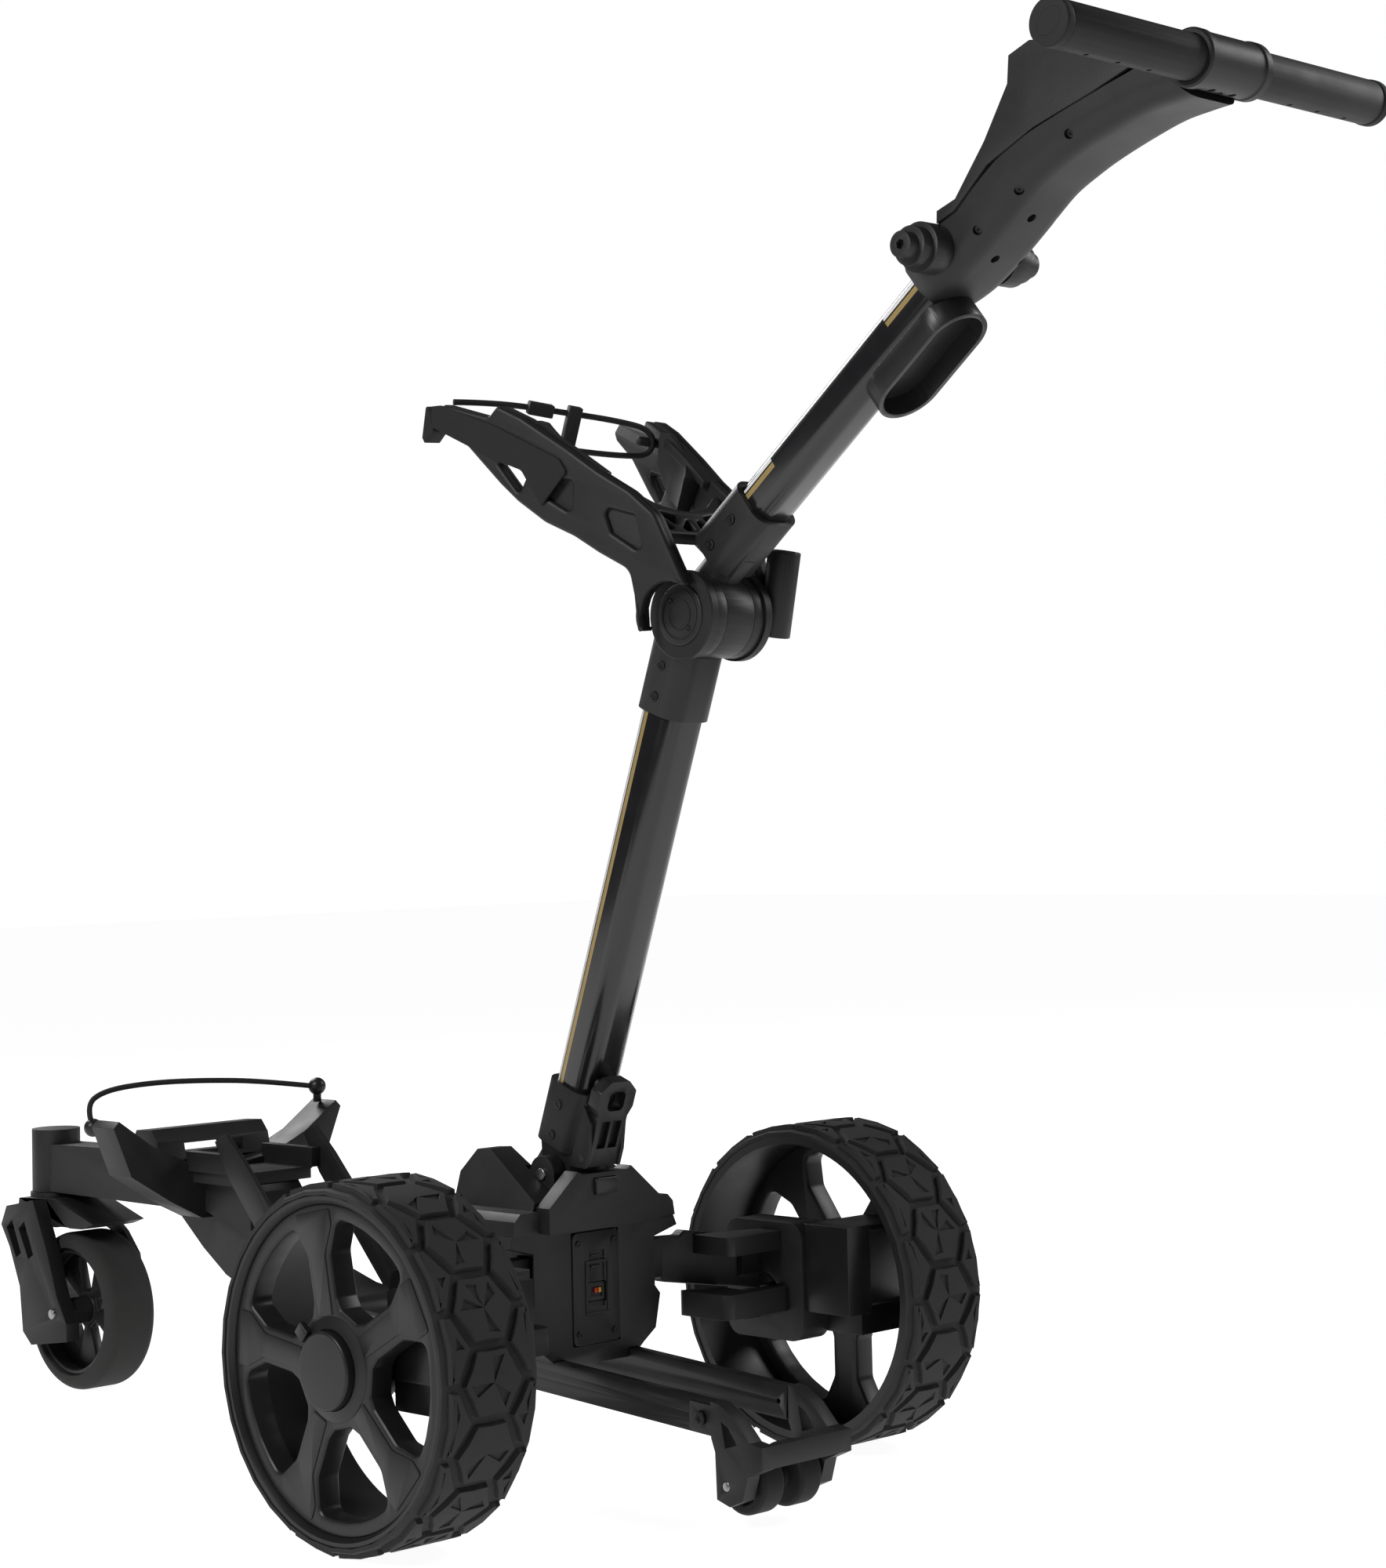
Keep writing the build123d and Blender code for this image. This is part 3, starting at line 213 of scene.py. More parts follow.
def elastic_cord(name, route):
    """Elastic cord with a smooth line through its route's points."""
    line = bpy.data.curves.new(name, "CURVE")
    line.dimensions = "3D"
    line.bevel_depth = cord_diameter / 2
    line.bevel_resolution = 4
    line.resolution_u = 12
    line.use_fill_caps = True
    spline = line.splines.new("NURBS")
    spline.points.add(len(route) - 1)
    for point, place in zip(spline.points, route):
        point.co = (*place, 1.0)
    spline.order_u = 3
    spline.use_endpoint_u = True
    line.materials.append(woven_cover)
    piece = bpy.data.objects.new(name + "_cord", line)
    bpy.context.scene.collection.objects.link(piece)
    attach(piece, body_of[name])
    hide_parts(name)
    return piece


upper_route = [
    cradle_place @ Vector(place)
    for place in (
        (-0.095, 0.256, 0.106),
        (-0.060, 0.241, 0.112),
        (-0.012, 0.216, 0.114),
        (0.036, 0.196, 0.115),
        (0.068, 0.184, 0.112),
        (0.071, 0.182, 0.090),
        (0.038, 0.190, 0.086),
        (-0.012, 0.208, 0.084),
        (-0.060, 0.226, 0.086),
        (-0.091, 0.237, 0.091),
    )
]
elastic_cord("upper_bungee", upper_route)
lower_route = [
    rear_axle * Vector((0.0, 1.0, 0.0)) + Vector(place)
    for place in (
        (-0.122, 0.579, 0.276),
        (-0.127, 0.584, 0.296),
        (-0.108, 0.582, 0.309),
        (-0.060, 0.575, 0.313),
        (0.000, 0.570, 0.311),
        (0.060, 0.562, 0.306),
        (0.116, 0.552, 0.297),
    )
]
elastic_cord("lower_bungee", lower_route)

# ---- Rails, tail bracket and pins ---------------------------------------------------------------
# Two rectangular aluminium tubes, painted black, run under the body. A moulded bracket bolted to their
# rear ends carries a pair of small rollers, which the trolley stands on when it is tipped up.
rail_paint = grained("rail_paint", (0.010, 0.010, 0.011), 0.38, 0.0016, 0.00006, mottle=0.2, coat=0.25)
black_casting = grained("black_casting", (0.011, 0.011, 0.012), 0.46, 0.0011, 0.00012, mottle=0.3)
black_rubber = grained("black_rubber", (0.010, 0.010, 0.010), 0.72, 0.0013, 0.00015, mottle=0.35)
dull_steel = grained("dull_steel", (0.32, 0.32, 0.33), 0.35, 0.0006, 0.00002, mottle=0.15, metal=1.0)


def eased(node, finish, width, segments=2, crease=28.0):
    """The CAD piece in its own shape, with its sharp edges rounded over by this much."""
    shape = bmesh.new()
    shape.from_mesh(frame["nodes"][node].data)
    bmesh.ops.remove_doubles(shape, verts=shape.verts, dist=2e-6)
    bmesh.ops.dissolve_limit(
        shape,
        angle_limit=math.radians(0.8),
        verts=shape.verts,
        edges=shape.edges,
        use_dissolve_boundaries=False,
    )
    mesh = bpy.data.meshes.new(node + "_eased")
    shape.to_mesh(mesh)
    shape.free()
    mesh.shade_smooth()
    mesh.materials.clear()
    mesh.materials.append(finish)
    piece = bpy.data.objects.new(node + "_eased", mesh)
    bpy.context.scene.collection.objects.link(piece)
    rounding = piece.modifiers.new("rounding", "BEVEL")
    rounding.width = width
    rounding.segments = segments
    rounding.limit_method = "ANGLE"
    rounding.angle_limit = math.radians(crease)
    rounding.harden_normals = True
    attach(piece, body_of[node])
    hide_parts(node)
    return piece


for node in ("rail_right", "rail_left"):
    eased(node, rail_paint, 0.0012)
eased("tail_bracket", black_casting, 0.002, 3)
eased("pivot_pins", dull_steel, 0.0008)
eased("tail_rollers", black_rubber, 0.002)
black_screw = grained("black_screw", (0.035, 0.035, 0.037), 0.42, 0.0006, 0.00002, mottle=0.15, metal=1.0)
eased("chassis_screws", black_screw, 0.0004)

# ---- Body ---------------------------------------------------------------------------------------
# The body is two mouldings of textured black plastic that meet at a seam. It holds the battery and the
# control board, and a panel with the charging socket is screwed to its rear face.
body_plastic = grained("body_plastic", (0.012, 0.012, 0.013), 0.48, 0.0009, 0.00016, mottle=0.2)
frame_plastic = grained("frame_plastic", (0.010, 0.010, 0.011), 0.50, 0.0010, 0.00014, mottle=0.25)
button_plastic = grained("button_plastic", (0.012, 0.012, 0.013), 0.36, 0.0012, 0.00006, mottle=0.2)
eased("body_shell", body_plastic, 0.0022, 3)
eased("body_cover", body_plastic, 0.0024, 3)
eased("rear_panel", frame_plastic, 0.0006)
eased("release_button", button_plastic, 0.0012)
panel_low, panel_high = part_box("rear_panel")
contact_red = grained("contact_red", (0.45, 0.02, 0.012), 0.4, 0.001, 0.00002, mottle=0.1)
contact_amber = grained("contact_amber", (0.55, 0.25, 0.02), 0.4, 0.001, 0.00002, mottle=0.1)


def small_block(name, low, high, finish, body, edge=0.0004):
    """Small block between two corners, with rounded edges."""
    shape = bmesh.new()
    middle = (Vector(low) + Vector(high)) / 2
    size = Vector(high) - Vector(low)
    bmesh.ops.create_cube(shape, size=1.0, matrix=Matrix.Translation(middle) @ Matrix.Diagonal((*size, 1.0)))
    bmesh.ops.bevel(
        shape, geom=shape.edges[:], offset=edge, segments=2, affect="EDGES", profile=0.5, material=-1
    )
    return shown(shape, name, finish, body, 40.0)


# The charging socket's frame has a border, two contacts behind it, and a row of ribs above.
for index, (finish, aside) in enumerate(((contact_red, -0.0015), (contact_amber, 0.0030))):
    small_block(
        f"socket_contact_{index}",
        (aside, panel_low.y + 0.0006, panel_low.z + 0.041),
        (aside + 0.0028, panel_low.y + 0.0028, panel_low.z + 0.045),
        finish,
        "chassis",
    )
for index in range(3):
    small_block(
        f"panel_rib_{index}",
        (-0.0055, panel_low.y + 0.0002, panel_high.z - 0.0300 + index * 0.0045),
        (0.0055, panel_low.y + 0.0020, panel_high.z - 0.0282 + index * 0.0045),
        frame_plastic,
        "chassis",
    )
for index, (low_x, high_x, low_z, high_z) in enumerate(
    (
        (-0.0125, -0.0105, 0.026, 0.066),
        (0.0115, 0.0135, 0.026, 0.066),
        (-0.0125, 0.0135, 0.024, 0.026),
        (-0.0125, 0.0135, 0.066, 0.068),
    )
):
    small_block(
        f"panel_border_{index}",
        (low_x, panel_low.y - 0.0008, panel_low.z + low_z),
        (high_x, panel_low.y + 0.0006, panel_low.z + high_z),
        frame_plastic,
        "chassis",
    )
eased("battery_pack", frame_plastic, 0.002)
board_green = grained("board_green", (0.01, 0.10, 0.04), 0.4, 0.002, 0.00005)
eased("control_board", board_green, 0.0004)

# ---- Drive units --------------------------------------------------------------------------------
# Each rear wheel has its own motor and gear case, carried by a flat arm out of the body's side. The
# cases are cast and painted, and their covers are moulded.
motor_paint = grained("motor_paint", (0.008, 0.008, 0.009), 0.34, 0.0009, 0.00008, mottle=0.2)
for side in ("right", "left"):
    eased("drive_arm_" + side, frame_plastic, 0.0016, 3)
    eased("gear_case_" + side, black_casting, 0.002, 3)
    eased("motor_" + side, motor_paint, 0.0015, 2)
    eased("drive_shaft_" + side, dull_steel, 0.0006)

# ---- Rear wheels --------------------------------------------------------------------------------
# Each rear wheel is a moulded rim with five broad spokes, and a rubber tyre with a tread of hexagonal
# blocks in the middle, half hexagons on the shoulders and short cuts in each block.
tyre_rubber = grained("tyre_rubber", (0.020, 0.020, 0.0205), 0.78, 0.0011, 0.00035, mottle=0.35)
rim_plastic = grained("rim_plastic", (0.012, 0.012, 0.013), 0.40, 0.0010, 0.00008, mottle=0.2)
tread_blocks = 16
tread_depth = 0.0042
groove_half = 0.0036  # half the gap between two blocks, at its foot
block_slope = 0.0012
cut_depth = 0.0018
shoulder_width = 0.0025  # plain rubber outside the tread
shoulder_drop = 0.0012
tyre_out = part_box("tyre_right")[1].x
tyre_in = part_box("tyre_right")[0].x
tyre_radius = rear_axle.z
tyre_bore = tyre_radius - 0.0085


def tread_row(shape, pitch, side_length):
    """Flat faces of one pitch of the tread: a hexagon and two half hexagons that reach the shoulders."""
    shoulder = (tyre_out - tyre_in) / 2 - shoulder_width
    middle = [
        (0.0, side_length),
        (pitch / 2, side_length / 2),
        (pitch / 2, -side_length / 2),
        (0.0, -side_length),
        (-pitch / 2, -side_length / 2),
        (-pitch / 2, side_length / 2),
    ]
    upper = [
        (pitch / 2, side_length / 2),
        (0.0, side_length),
        (0.0, shoulder),
        (pitch, shoulder),
        (pitch, side_length),
    ]
    lower = [(along, -across) for along, across in reversed(upper)]
    for outline in (middle, upper, lower):
        shape.faces.new([shape.verts.new((along, across, 0.0)) for along, across in reversed(outline)])


def treaded_tyre(side, sign):
    """Tyre: the tread is laid out flat, its blocks are raised and cut, and it is then rolled up."""
    pitch = 2 * math.pi * tyre_radius / tread_blocks
    flat = bmesh.new()
    tread_row(flat, pitch, pitch / math.sqrt(3))
    one = flat.verts[:] + flat.edges[:] + flat.faces[:]
    for index in range(1, tread_blocks):
        copy = bmesh.ops.duplicate(flat, geom=one)["geom"]
        moved = [item for item in copy if isinstance(item, bmesh.types.BMVert)]
        bmesh.ops.translate(flat, verts=moved, vec=(index * pitch, 0.0, 0.0))
    bmesh.ops.remove_doubles(flat, verts=flat.verts, dist=1e-5)
    bmesh.ops.subdivide_edges(flat, edges=flat.edges, cuts=1)
    blocks = flat.faces[:]
    bmesh.ops.inset_individual(flat, faces=blocks, thickness=groove_half)
    bmesh.ops.inset_individual(flat, faces=blocks, thickness=block_slope, depth=tread_depth)
    bmesh.ops.inset_individual(flat, faces=blocks, thickness=0.0045)
    fans = bmesh.ops.poke(flat, faces=blocks)["faces"]
    flat.normal_update()
    cuts = [fan for fan in fans[0::4] if fan.normal.z > 0]
    bmesh.ops.inset_individual(flat, faces=cuts, thickness=0.0012, depth=-cut_depth)
    reach = (tyre_out - tyre_in) / 2
    for drop in (shoulder_drop, tyre_radius - tread_depth - tyre_bore):
        rims = [
            edge
            for edge in flat.edges
            if edge.is_boundary and min(abs(vert.co.y) for vert in edge.verts) > reach - 0.003
        ]
        made = bmesh.ops.extrude_edge_only(flat, edges=rims)["geom"]
        lowest = [item for item in made if isinstance(item, bmesh.types.BMVert)]
        for vert in lowest:
            vert.co.y = math.copysign(reach, vert.co.y)
            vert.co.z = -drop
    near = {round(vert.co.x, 4): vert for vert in lowest if vert.co.y < 0}
    far = {round(vert.co.x, 4): vert for vert in lowest if vert.co.y > 0}
    stops = sorted(near)
    for first, last in zip(stops, stops[1:]):
        flat.faces.new((near[first], near[last], far[last], far[first]))
    for vert in flat.verts:
        turn = 2 * math.pi * vert.co.x / (pitch * tread_blocks)
        radius = tyre_radius - tread_depth + vert.co.z
        across = (tyre_in + tyre_out) / 2 + vert.co.y
        forward, up = radius * math.cos(turn), radius * math.sin(turn)
        vert.co = Vector((sign * across, rear_axle.y + forward, rear_axle.z + up))
    bmesh.ops.remove_doubles(flat, verts=flat.verts, dist=2e-5)
    tyre = shown(flat, "tyre_" + side + "_tread", tyre_rubber, "wheel_" + side, 25.0)
    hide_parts("tyre_" + side)


def rounded_loop(points, radii, steps=5):
    """Outline through these corners, each rounded with an arc of its radius."""
    loop = []
    count = len(points)
    for index in range(count):
        corner = Vector(points[index])
        before = (Vector(points[index - 1]) - corner).normalized()
        after = (Vector(points[(index + 1) % count]) - corner).normalized()
        half = before.angle(after) / 2
        reach = radii[index] / math.tan(half)
        centre = corner + (before + after).normalized() * (radii[index] / math.sin(half))
        first, last = corner + before * reach - centre, corner + after * reach - centre
        for step in range(steps + 1):
            share = step / steps
            loop.append(centre + (first * (1 - share) + last * share).normalized() * radii[index])
    return loop


def flat_plate(name, loops, thickness, edge, edge_steps=2):
    """Mesh of a flat plate about Z = 0 with these outlines, holes among them, and with rounded edges."""
    line = bpy.data.curves.new(name, "CURVE")
    line.dimensions = "2D"
    line.fill_mode = "BOTH"
    line.extrude = thickness / 2 - edge
    line.bevel_depth = edge
    line.bevel_resolution = edge_steps
    line.offset = -edge
    for loop in loops:
        spline = line.splines.new("POLY")
        spline.points.add(len(loop) - 1)
        for point, place in zip(spline.points, loop):
            point.co = (place[0], place[1], 0.0, 1.0)
        spline.use_cyclic_u = True
    holder = bpy.data.objects.new(name, line)
    mesh = bpy.data.meshes.new_from_object(holder)
    bpy.data.objects.remove(holder)
    bpy.data.curves.remove(line)
    return mesh


def added(shape, mesh, place):
    """Adds this mesh to the shape, welded and moved to its place."""
    piece = bmesh.new()
    piece.from_mesh(mesh)
    bmesh.ops.remove_doubles(piece, verts=piece.verts, dist=2e-6)
    bmesh.ops.transform(piece, matrix=place, verts=piece.verts)
    piece.to_mesh(mesh)
    piece.free()
    shape.from_mesh(mesh)


def turned(shape, profile, place, steps=96):
    """Adds a closed ring made by turning this profile of (along, radius) pairs about the place's Z axis."""
    ring = bmesh.new()
    points = [ring.verts.new((radius, 0.0, along)) for along, radius in profile]
    edges = [ring.edges.new((a, b)) for a, b in zip(points, points[1:] + points[:1])]
    bmesh.ops.spin(
        ring,
        geom=points + edges,
        cent=(0, 0, 0),
        axis=(0, 0, 1),
        angle=2 * math.pi,
        steps=steps,
        use_merge=True,
    )
    mesh = bpy.data.meshes.new("ring")
    ring.to_mesh(mesh)
    ring.free()
    added(shape, mesh, place)
    bpy.data.meshes.remove(mesh)


def facing(sign, centre):
    """Frame at a centre whose Z axis points out of the trolley's right (1) or left (-1) side."""
    return Matrix.Translation(centre) @ Matrix.Rotation(sign * math.pi / 2, 4, "Y")


def swung(loop, turn):
    """Outline turned about the origin."""
    cosine, sine = math.cos(turn), math.sin(turn)
    return [(point[0] * cosine - point[1] * sine, point[0] * sine + point[1] * cosine) for point in loop]


spokes = 5
spoke_half = 0.0145
rim_face = tyre_out - 0.006
rim_radius = tyre_bore - 0.0001
spoke_step = 2 * math.pi / spokes


def beside_spoke(along, aside):
    """Point of a window's outline at this distance along the next spoke and this far beside its middle."""
    half = spoke_step / 2
    return (along * math.cos(half) + aside * math.sin(half), along * math.sin(half) - aside * math.cos(half))


def window_loop(turn):
    """Outline of one window: narrow at the hub, straight beside the spokes, an arc along the rim."""
    reach, spread = 0.1125, math.radians(22.0)
    upper = [(0.045, 0.0105), beside_spoke(0.052, spoke_half), beside_spoke(0.086, spoke_half)]
    shares = (1, 0.6, 0.2, -0.2, -0.6, -1)
    arc = [(reach * math.cos(spread * share), reach * math.sin(spread * share)) for share in shares]
    lower = [(along, -across) for along, across in reversed(upper)]
    radii = [0.003, 0.005, 0.012, 0.008] + [0.05] * 4 + [0.008, 0.012, 0.005, 0.003]
    return swung(rounded_loop(upper + arc + lower, radii), turn)


def spoke_panel(turn):
    """Outline of the raised panel on one spoke, which widens where the spoke meets the rim."""
    upper = [(0.0400, 0.0085), (0.0860, 0.0092), (0.1060, 0.0215), (0.1190, 0.0215)]
    lower = [(along, -across) for along, across in reversed(upper)]
    radii = [0.002, 0.010, 0.008, 0.003, 0.003, 0.008, 0.010, 0.002]
    return swung(rounded_loop(upper + lower, radii), turn)


def moulded_rim(side, sign):
    """Rim: a barrel with a lip, a deep disc with five windows, panels on the spokes and a low hub."""
    outward = facing(sign, (0.0, rear_axle.y, rear_axle.z))
    shape = bmesh.new()
    lip = tyre_out - 0.001
    turned(
        shape,
        [
            (tyre_in + 0.001, rim_radius - 0.0075),
            (tyre_in + 0.001, rim_radius),
            (lip - 0.001, rim_radius),
            (lip, rim_radius - 0.001),
            (lip, rim_radius - 0.0040),
            (rim_face + 0.0015, rim_radius - 0.0068),
            (rim_face + 0.0002, rim_radius - 0.0072),
            (rim_face - 0.0016, rim_radius - 0.0076),
            (rim_face - 0.0030, rim_radius - 0.0076),
        ],
        outward,
    )
    turned(
        shape,
        [
            (rim_face - 0.040, 0.0080),
            (rim_face - 0.040, 0.0300),
            (rim_face - 0.020, 0.0300),
            (rim_face - 0.002, 0.0410),
            (rim_face + 0.0004, 0.0395),
            (rim_face + 0.0024, 0.0350),
            (rim_face + 0.0030, 0.0325),
            (rim_face + 0.0036, 0.0308),
            (rim_face - 0.0005, 0.0303),
            (rim_face - 0.0005, 0.0080),
        ],
        outward,
    )
    phase = math.radians(180.0 if sign > 0 else 263.4)
    depth = 0.022
    windows = [window_loop(phase + index * spoke_step) for index in range(spokes)]
    disc_radius = rim_radius - 0.0065
    rim_edge = [
        (math.cos(step * math.pi / 60) * disc_radius, math.sin(step * math.pi / 60) * disc_radius)
        for step in range(120)
    ]
    disc = flat_plate("disc", [rim_edge] + windows, depth, 0.0032)
    added(shape, disc, outward @ Matrix.Translation((0.0, 0.0, rim_face - depth / 2)))
    panels = [spoke_panel(phase + (index + 0.5) * spoke_step) for index in range(spokes)]
    raised = flat_plate("panels", panels, 0.0030, 0.0007, 1)
    added(shape, raised, outward @ Matrix.Translation((0.0, 0.0, rim_face - 0.0006)))
    for mesh in (disc, raised):
        bpy.data.meshes.remove(mesh)
    rim = shown(shape, "rim_" + side + "_moulding", rim_plastic, "wheel_" + side, 28.0)
    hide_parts("rim_" + side)


for side, sign in (("right", 1.0), ("left", -1.0)):
    treaded_tyre(side, sign)
    moulded_rim(side, sign)
    eased("hub_cap_" + side, rim_plastic, 0.0008)
    eased("wheel_catch_" + side, button_plastic, 0.0008)

# ---- Front arm, saddle and swivel wheel ---------------------------------------------------------
# A moulded arm folds at the front of the rails and carries the saddle for the foot of the bag. The
# swivel fork under its head holds a small wheel with a smooth tyre.
smooth_tyre = grained("smooth_tyre", (0.020, 0.0195, 0.019), 0.8, 0.0012, 0.0003, mottle=0.4)
eased("front_arm", frame_plastic, 0.006, 4)
eased("lower_cradle", frame_plastic, 0.0025, 3)
eased("cradle_braces", frame_plastic, 0.001)
eased("bungee_fittings", button_plastic, 0.0006)
eased("caster_fork", frame_plastic, 0.002, 3)
eased("caster_axle", dull_steel, 0.0006)
eased("caster_rim", rim_plastic, 0.0012)
eased("caster_tyre", smooth_tyre, 0.001)

# ---- Mast ---------------------------------------------------------------------------------------
# A rounded aluminium tube with glossy black paint stands in a moulded socket. The latch lever behind
# the socket holds it up, and the hinge drum at its top carries the handle and the upper cradle.
tube_paint = grained("tube_paint", (0.007, 0.007, 0.008), 0.24, 0.0014, 0.00004, mottle=0.2, coat=0.5)
eased("mast_socket", frame_plastic, 0.0016, 3)
eased("mast_latch", button_plastic, 0.0014, 3)
eased("lower_tube", tube_paint, 0.0006)
white_line = grained("white_line", (0.62, 0.62, 0.62), 0.35, 0.0012, 0.00002, mottle=0.06, coat=0.4)
gold_line = grained("gold_line", (0.36, 0.26, 0.10), 0.35, 0.0012, 0.00002, mottle=0.08, coat=0.4, metal=0.4)


def corner_stripe(name, place, centre, radius, turn, span, finish, body):
    """Thin stripe by a tube's rounded corner; turn is how far its edges are past the end of the flat."""
    shape = bmesh.new()
    steps = 5
    rings = []
    for height in span:
        ring = []
        for depth in (0.00018, -0.0006):
            part = range(steps + 1) if depth > 0 else range(steps, -1, -1)
            for step in part:
                around = turn[0] + (turn[1] - turn[0]) * step / steps
                angle = max(0.0, around) / radius
                reach = radius + depth
                across = centre[1] + reach * math.sin(angle) + min(0.0, around)
                aside = centre[0] - reach * math.cos(angle)
                ring.append(shape.verts.new(place @ Vector((aside, across, height))))
        rings.append(ring)
    low, high = rings
    for index in range(len(low)):
        after = (index + 1) % len(low)
        shape.faces.new((low[index], low[after], high[after], high[index]))
    shape.faces.new(reversed(low))
    shape.faces.new(high)
    return shown(shape, name, finish, body, 40.0)


lower_round = 0.015
lower_corner = (lower_round - 0.0225, 0.006 + 0.021 - lower_round)
lower_span = (0.0752, 0.3998)
for name, turn, finish in (
    ("lower_white_line", (0.0052, 0.0080), white_line),
    ("lower_gold_line", (-0.0006, 0.0036), gold_line),
):
    corner_stripe(name, mast_place, lower_corner, lower_round, turn, lower_span, finish, "mast")
eased("mast_screws", black_screw, 0.0004)
eased("lower_clamp", black_casting, 0.0018, 3)
eased("drum_caps", black_casting, 0.0014, 3)
cap_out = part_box("drum_caps")[1].x
for sign in (-1.0, 1.0):
    end_name = "right" if sign > 0 else "left"
    face = facing(sign, (0.0, drum_centre.y, drum_centre.z))
    ring = bmesh.new()
    for inner in (0.0110, 0.0185):
        profile = [
            (cap_out - 0.001, inner),
            (cap_out + 0.0006, inner + 0.0004),
            (cap_out + 0.0006, inner + 0.0016),
            (cap_out - 0.001, inner + 0.0020),
        ]
        turned(ring, profile, face, 64)
    shown(ring, "cap_rings_" + end_name, black_casting, "mast", 30.0)
    heads = bmesh.new()
    head_profile = [
        (cap_out - 0.001, 0.0008),
        (cap_out - 0.0002, 0.0008),
        (cap_out + 0.0005, 0.0016),
        (cap_out + 0.0005, 0.0022),
        (cap_out - 0.001, 0.0026),
    ]
    for turn in (math.radians(40.0), math.radians(220.0)):
        spot = face @ Matrix.Translation((0.0150 * math.cos(turn), 0.0150 * math.sin(turn), 0.0))
        turned(heads, head_profile, spot, 20)
    shown(heads, "cap_screws_" + end_name, black_screw, "mast", 30.0)

# ---- Upper cradle -------------------------------------------------------------------------------
# Two splayed plastic arms, joined by a pocketed web, stand on a flange at each end of the hinge drum.
# They hold the top of the bag between rubber pads, with the doubled cord and a strap across them.
soft_rubber = grained("soft_rubber", (0.010, 0.010, 0.010), 0.7, 0.0012, 0.0002, mottle=0.3)
webbing = grained("webbing", (0.010, 0.010, 0.010), 0.8, 0.0010, 0.0005, mottle=0.5)
arm_root = 0.0377
arm_splay = math.radians(12.5)
arm_thick = 0.015
flange_radius = 0.036
flange_bore = 0.0253
sideways = Matrix(((0, 0, 1, 0), (1, 0, 0, 0), (0, 1, 0, 0), (0, 0, 0, 1)))


def arm_side(sign, out):
    """Frame of a flat piece on one splayed arm: X runs along the arm, Y up it, and Z is this far out."""
    splayed = Matrix.Translation((sign * arm_root, 0.0, 0.0)) @ Matrix.Rotation(-sign * arm_splay, 4, "Z")
    return cradle_place @ splayed @ Matrix.Translation((sign * out, 0.0, 0.0)) @ sideways


def cut_line(*corners):
    """Outline through corners of (along, up, radius) in millimetres, made in metres."""
    points = [(along / 1000, up / 1000) for along, up, radius in corners]
    return rounded_loop(points, [radius / 1000 for along, up, radius in corners])


arm_upper_edge = (
    (-11, 26.5, 2),
    (4, 42, 12),
    (34, 74, 20),
    (62, 85, 30),
    (96, 92, 30),
    (132, 102, 30),
    (182, 114, 20),
    (208, 117, 4),
    (214, 106, 3),
    (262, 104, 4),
    (268, 92, 4),
)
arm_lower_edge = (
    (261, 86, 6),
    (229, 77, 30),
    (188, 56, 30),
    (167, 47, 30),
    (136, 38, 30),
    (105, 35, 30),
    (78, 29, 20),
    (46, 24, 14),
    (36, 6, 16),
    (25, -21, 2),
)
round_the_drum = ((19, -19, 0.5), (26.5, -11, 20), (26.5, 11, 22), (11, 26.5, 22))
arm_outline = cut_line(*arm_upper_edge, *arm_lower_edge, *round_the_drum)
arm_gap = cut_line((198, 74, 2), (162, 76, 3), (167, 54, 2))
arm_pocket = cut_line((112, 52, 4), (142, 58, 4), (150, 74, 4), (118, 78, 4))
root_pocket = cut_line((36, 40, 4), (70, 48, 4), (84, 66, 4), (52, 68, 4))
ledge_line = cut_line(
    (96, 84, 1.5),
    (132, 92, 1.5),
    (182, 104, 1.5),
    (208, 107, 1.5),
    (208, 116, 1.5),
    (182, 113, 1.5),
    (132, 101, 1.5),
    (96, 91, 1.5),
)
cradle_shape = bmesh.new()
for sign in (-1.0, 1.0):
    for loops, thick, edge, edge_steps, out in (
        ([arm_outline, arm_gap, arm_pocket, root_pocket], arm_thick, 0.0032, 3, arm_thick / 2),
        ([arm_outline, arm_gap], 0.0055, 0.0006, 1, arm_thick / 2),
        ([ledge_line], 0.021, 0.0014, 2, arm_thick / 2 - 0.004),
    ):
        layer = flat_plate("arm", loops, thick, edge, edge_steps)
        added(cradle_shape, layer, arm_side(sign, out))
        bpy.data.meshes.remove(layer)
    turned(
        cradle_shape,
        [
            (cap_out - 0.0093, flange_bore),
            (cap_out - 0.0093, flange_radius),
            (cap_out - 0.0025, flange_radius),
            (cap_out - 0.0012, flange_radius - 0.0012),
            (cap_out - 0.0012, flange_bore),
        ],
        facing(sign, (0.0, drum_centre.y, drum_centre.z)),
        72,
    )
web_half = ((28, 35, 30), (50, 53, 4), (55, 30, 10), (46, 0, 4))
other_half = [(-across, along, radius) for across, along, radius in reversed(web_half)]
web_outline = cut_line((0, 27, 50), *web_half, *other_half)
pockets = (
    ((3, 5, 2.5), (20, 5, 2.5), (4, 21, 2.5)),
    ((25, 6, 2.5), (42, 6, 2.5), (42, 26, 2.5)),
    ((23, 11, 2.5), (37, 28, 2.5), (12, 22, 2.5)),
)
web_pockets = [
    cut_line(*[(sign * across, along, radius) for across, along, radius in corners][::sign])
    for sign in (-1, 1)
    for corners in pockets
]
web_tilt = Matrix.Rotation(math.radians(28.0), 4, "X")
web_place = cradle_place @ Matrix.Translation((0.0, 0.032, 0.054)) @ web_tilt
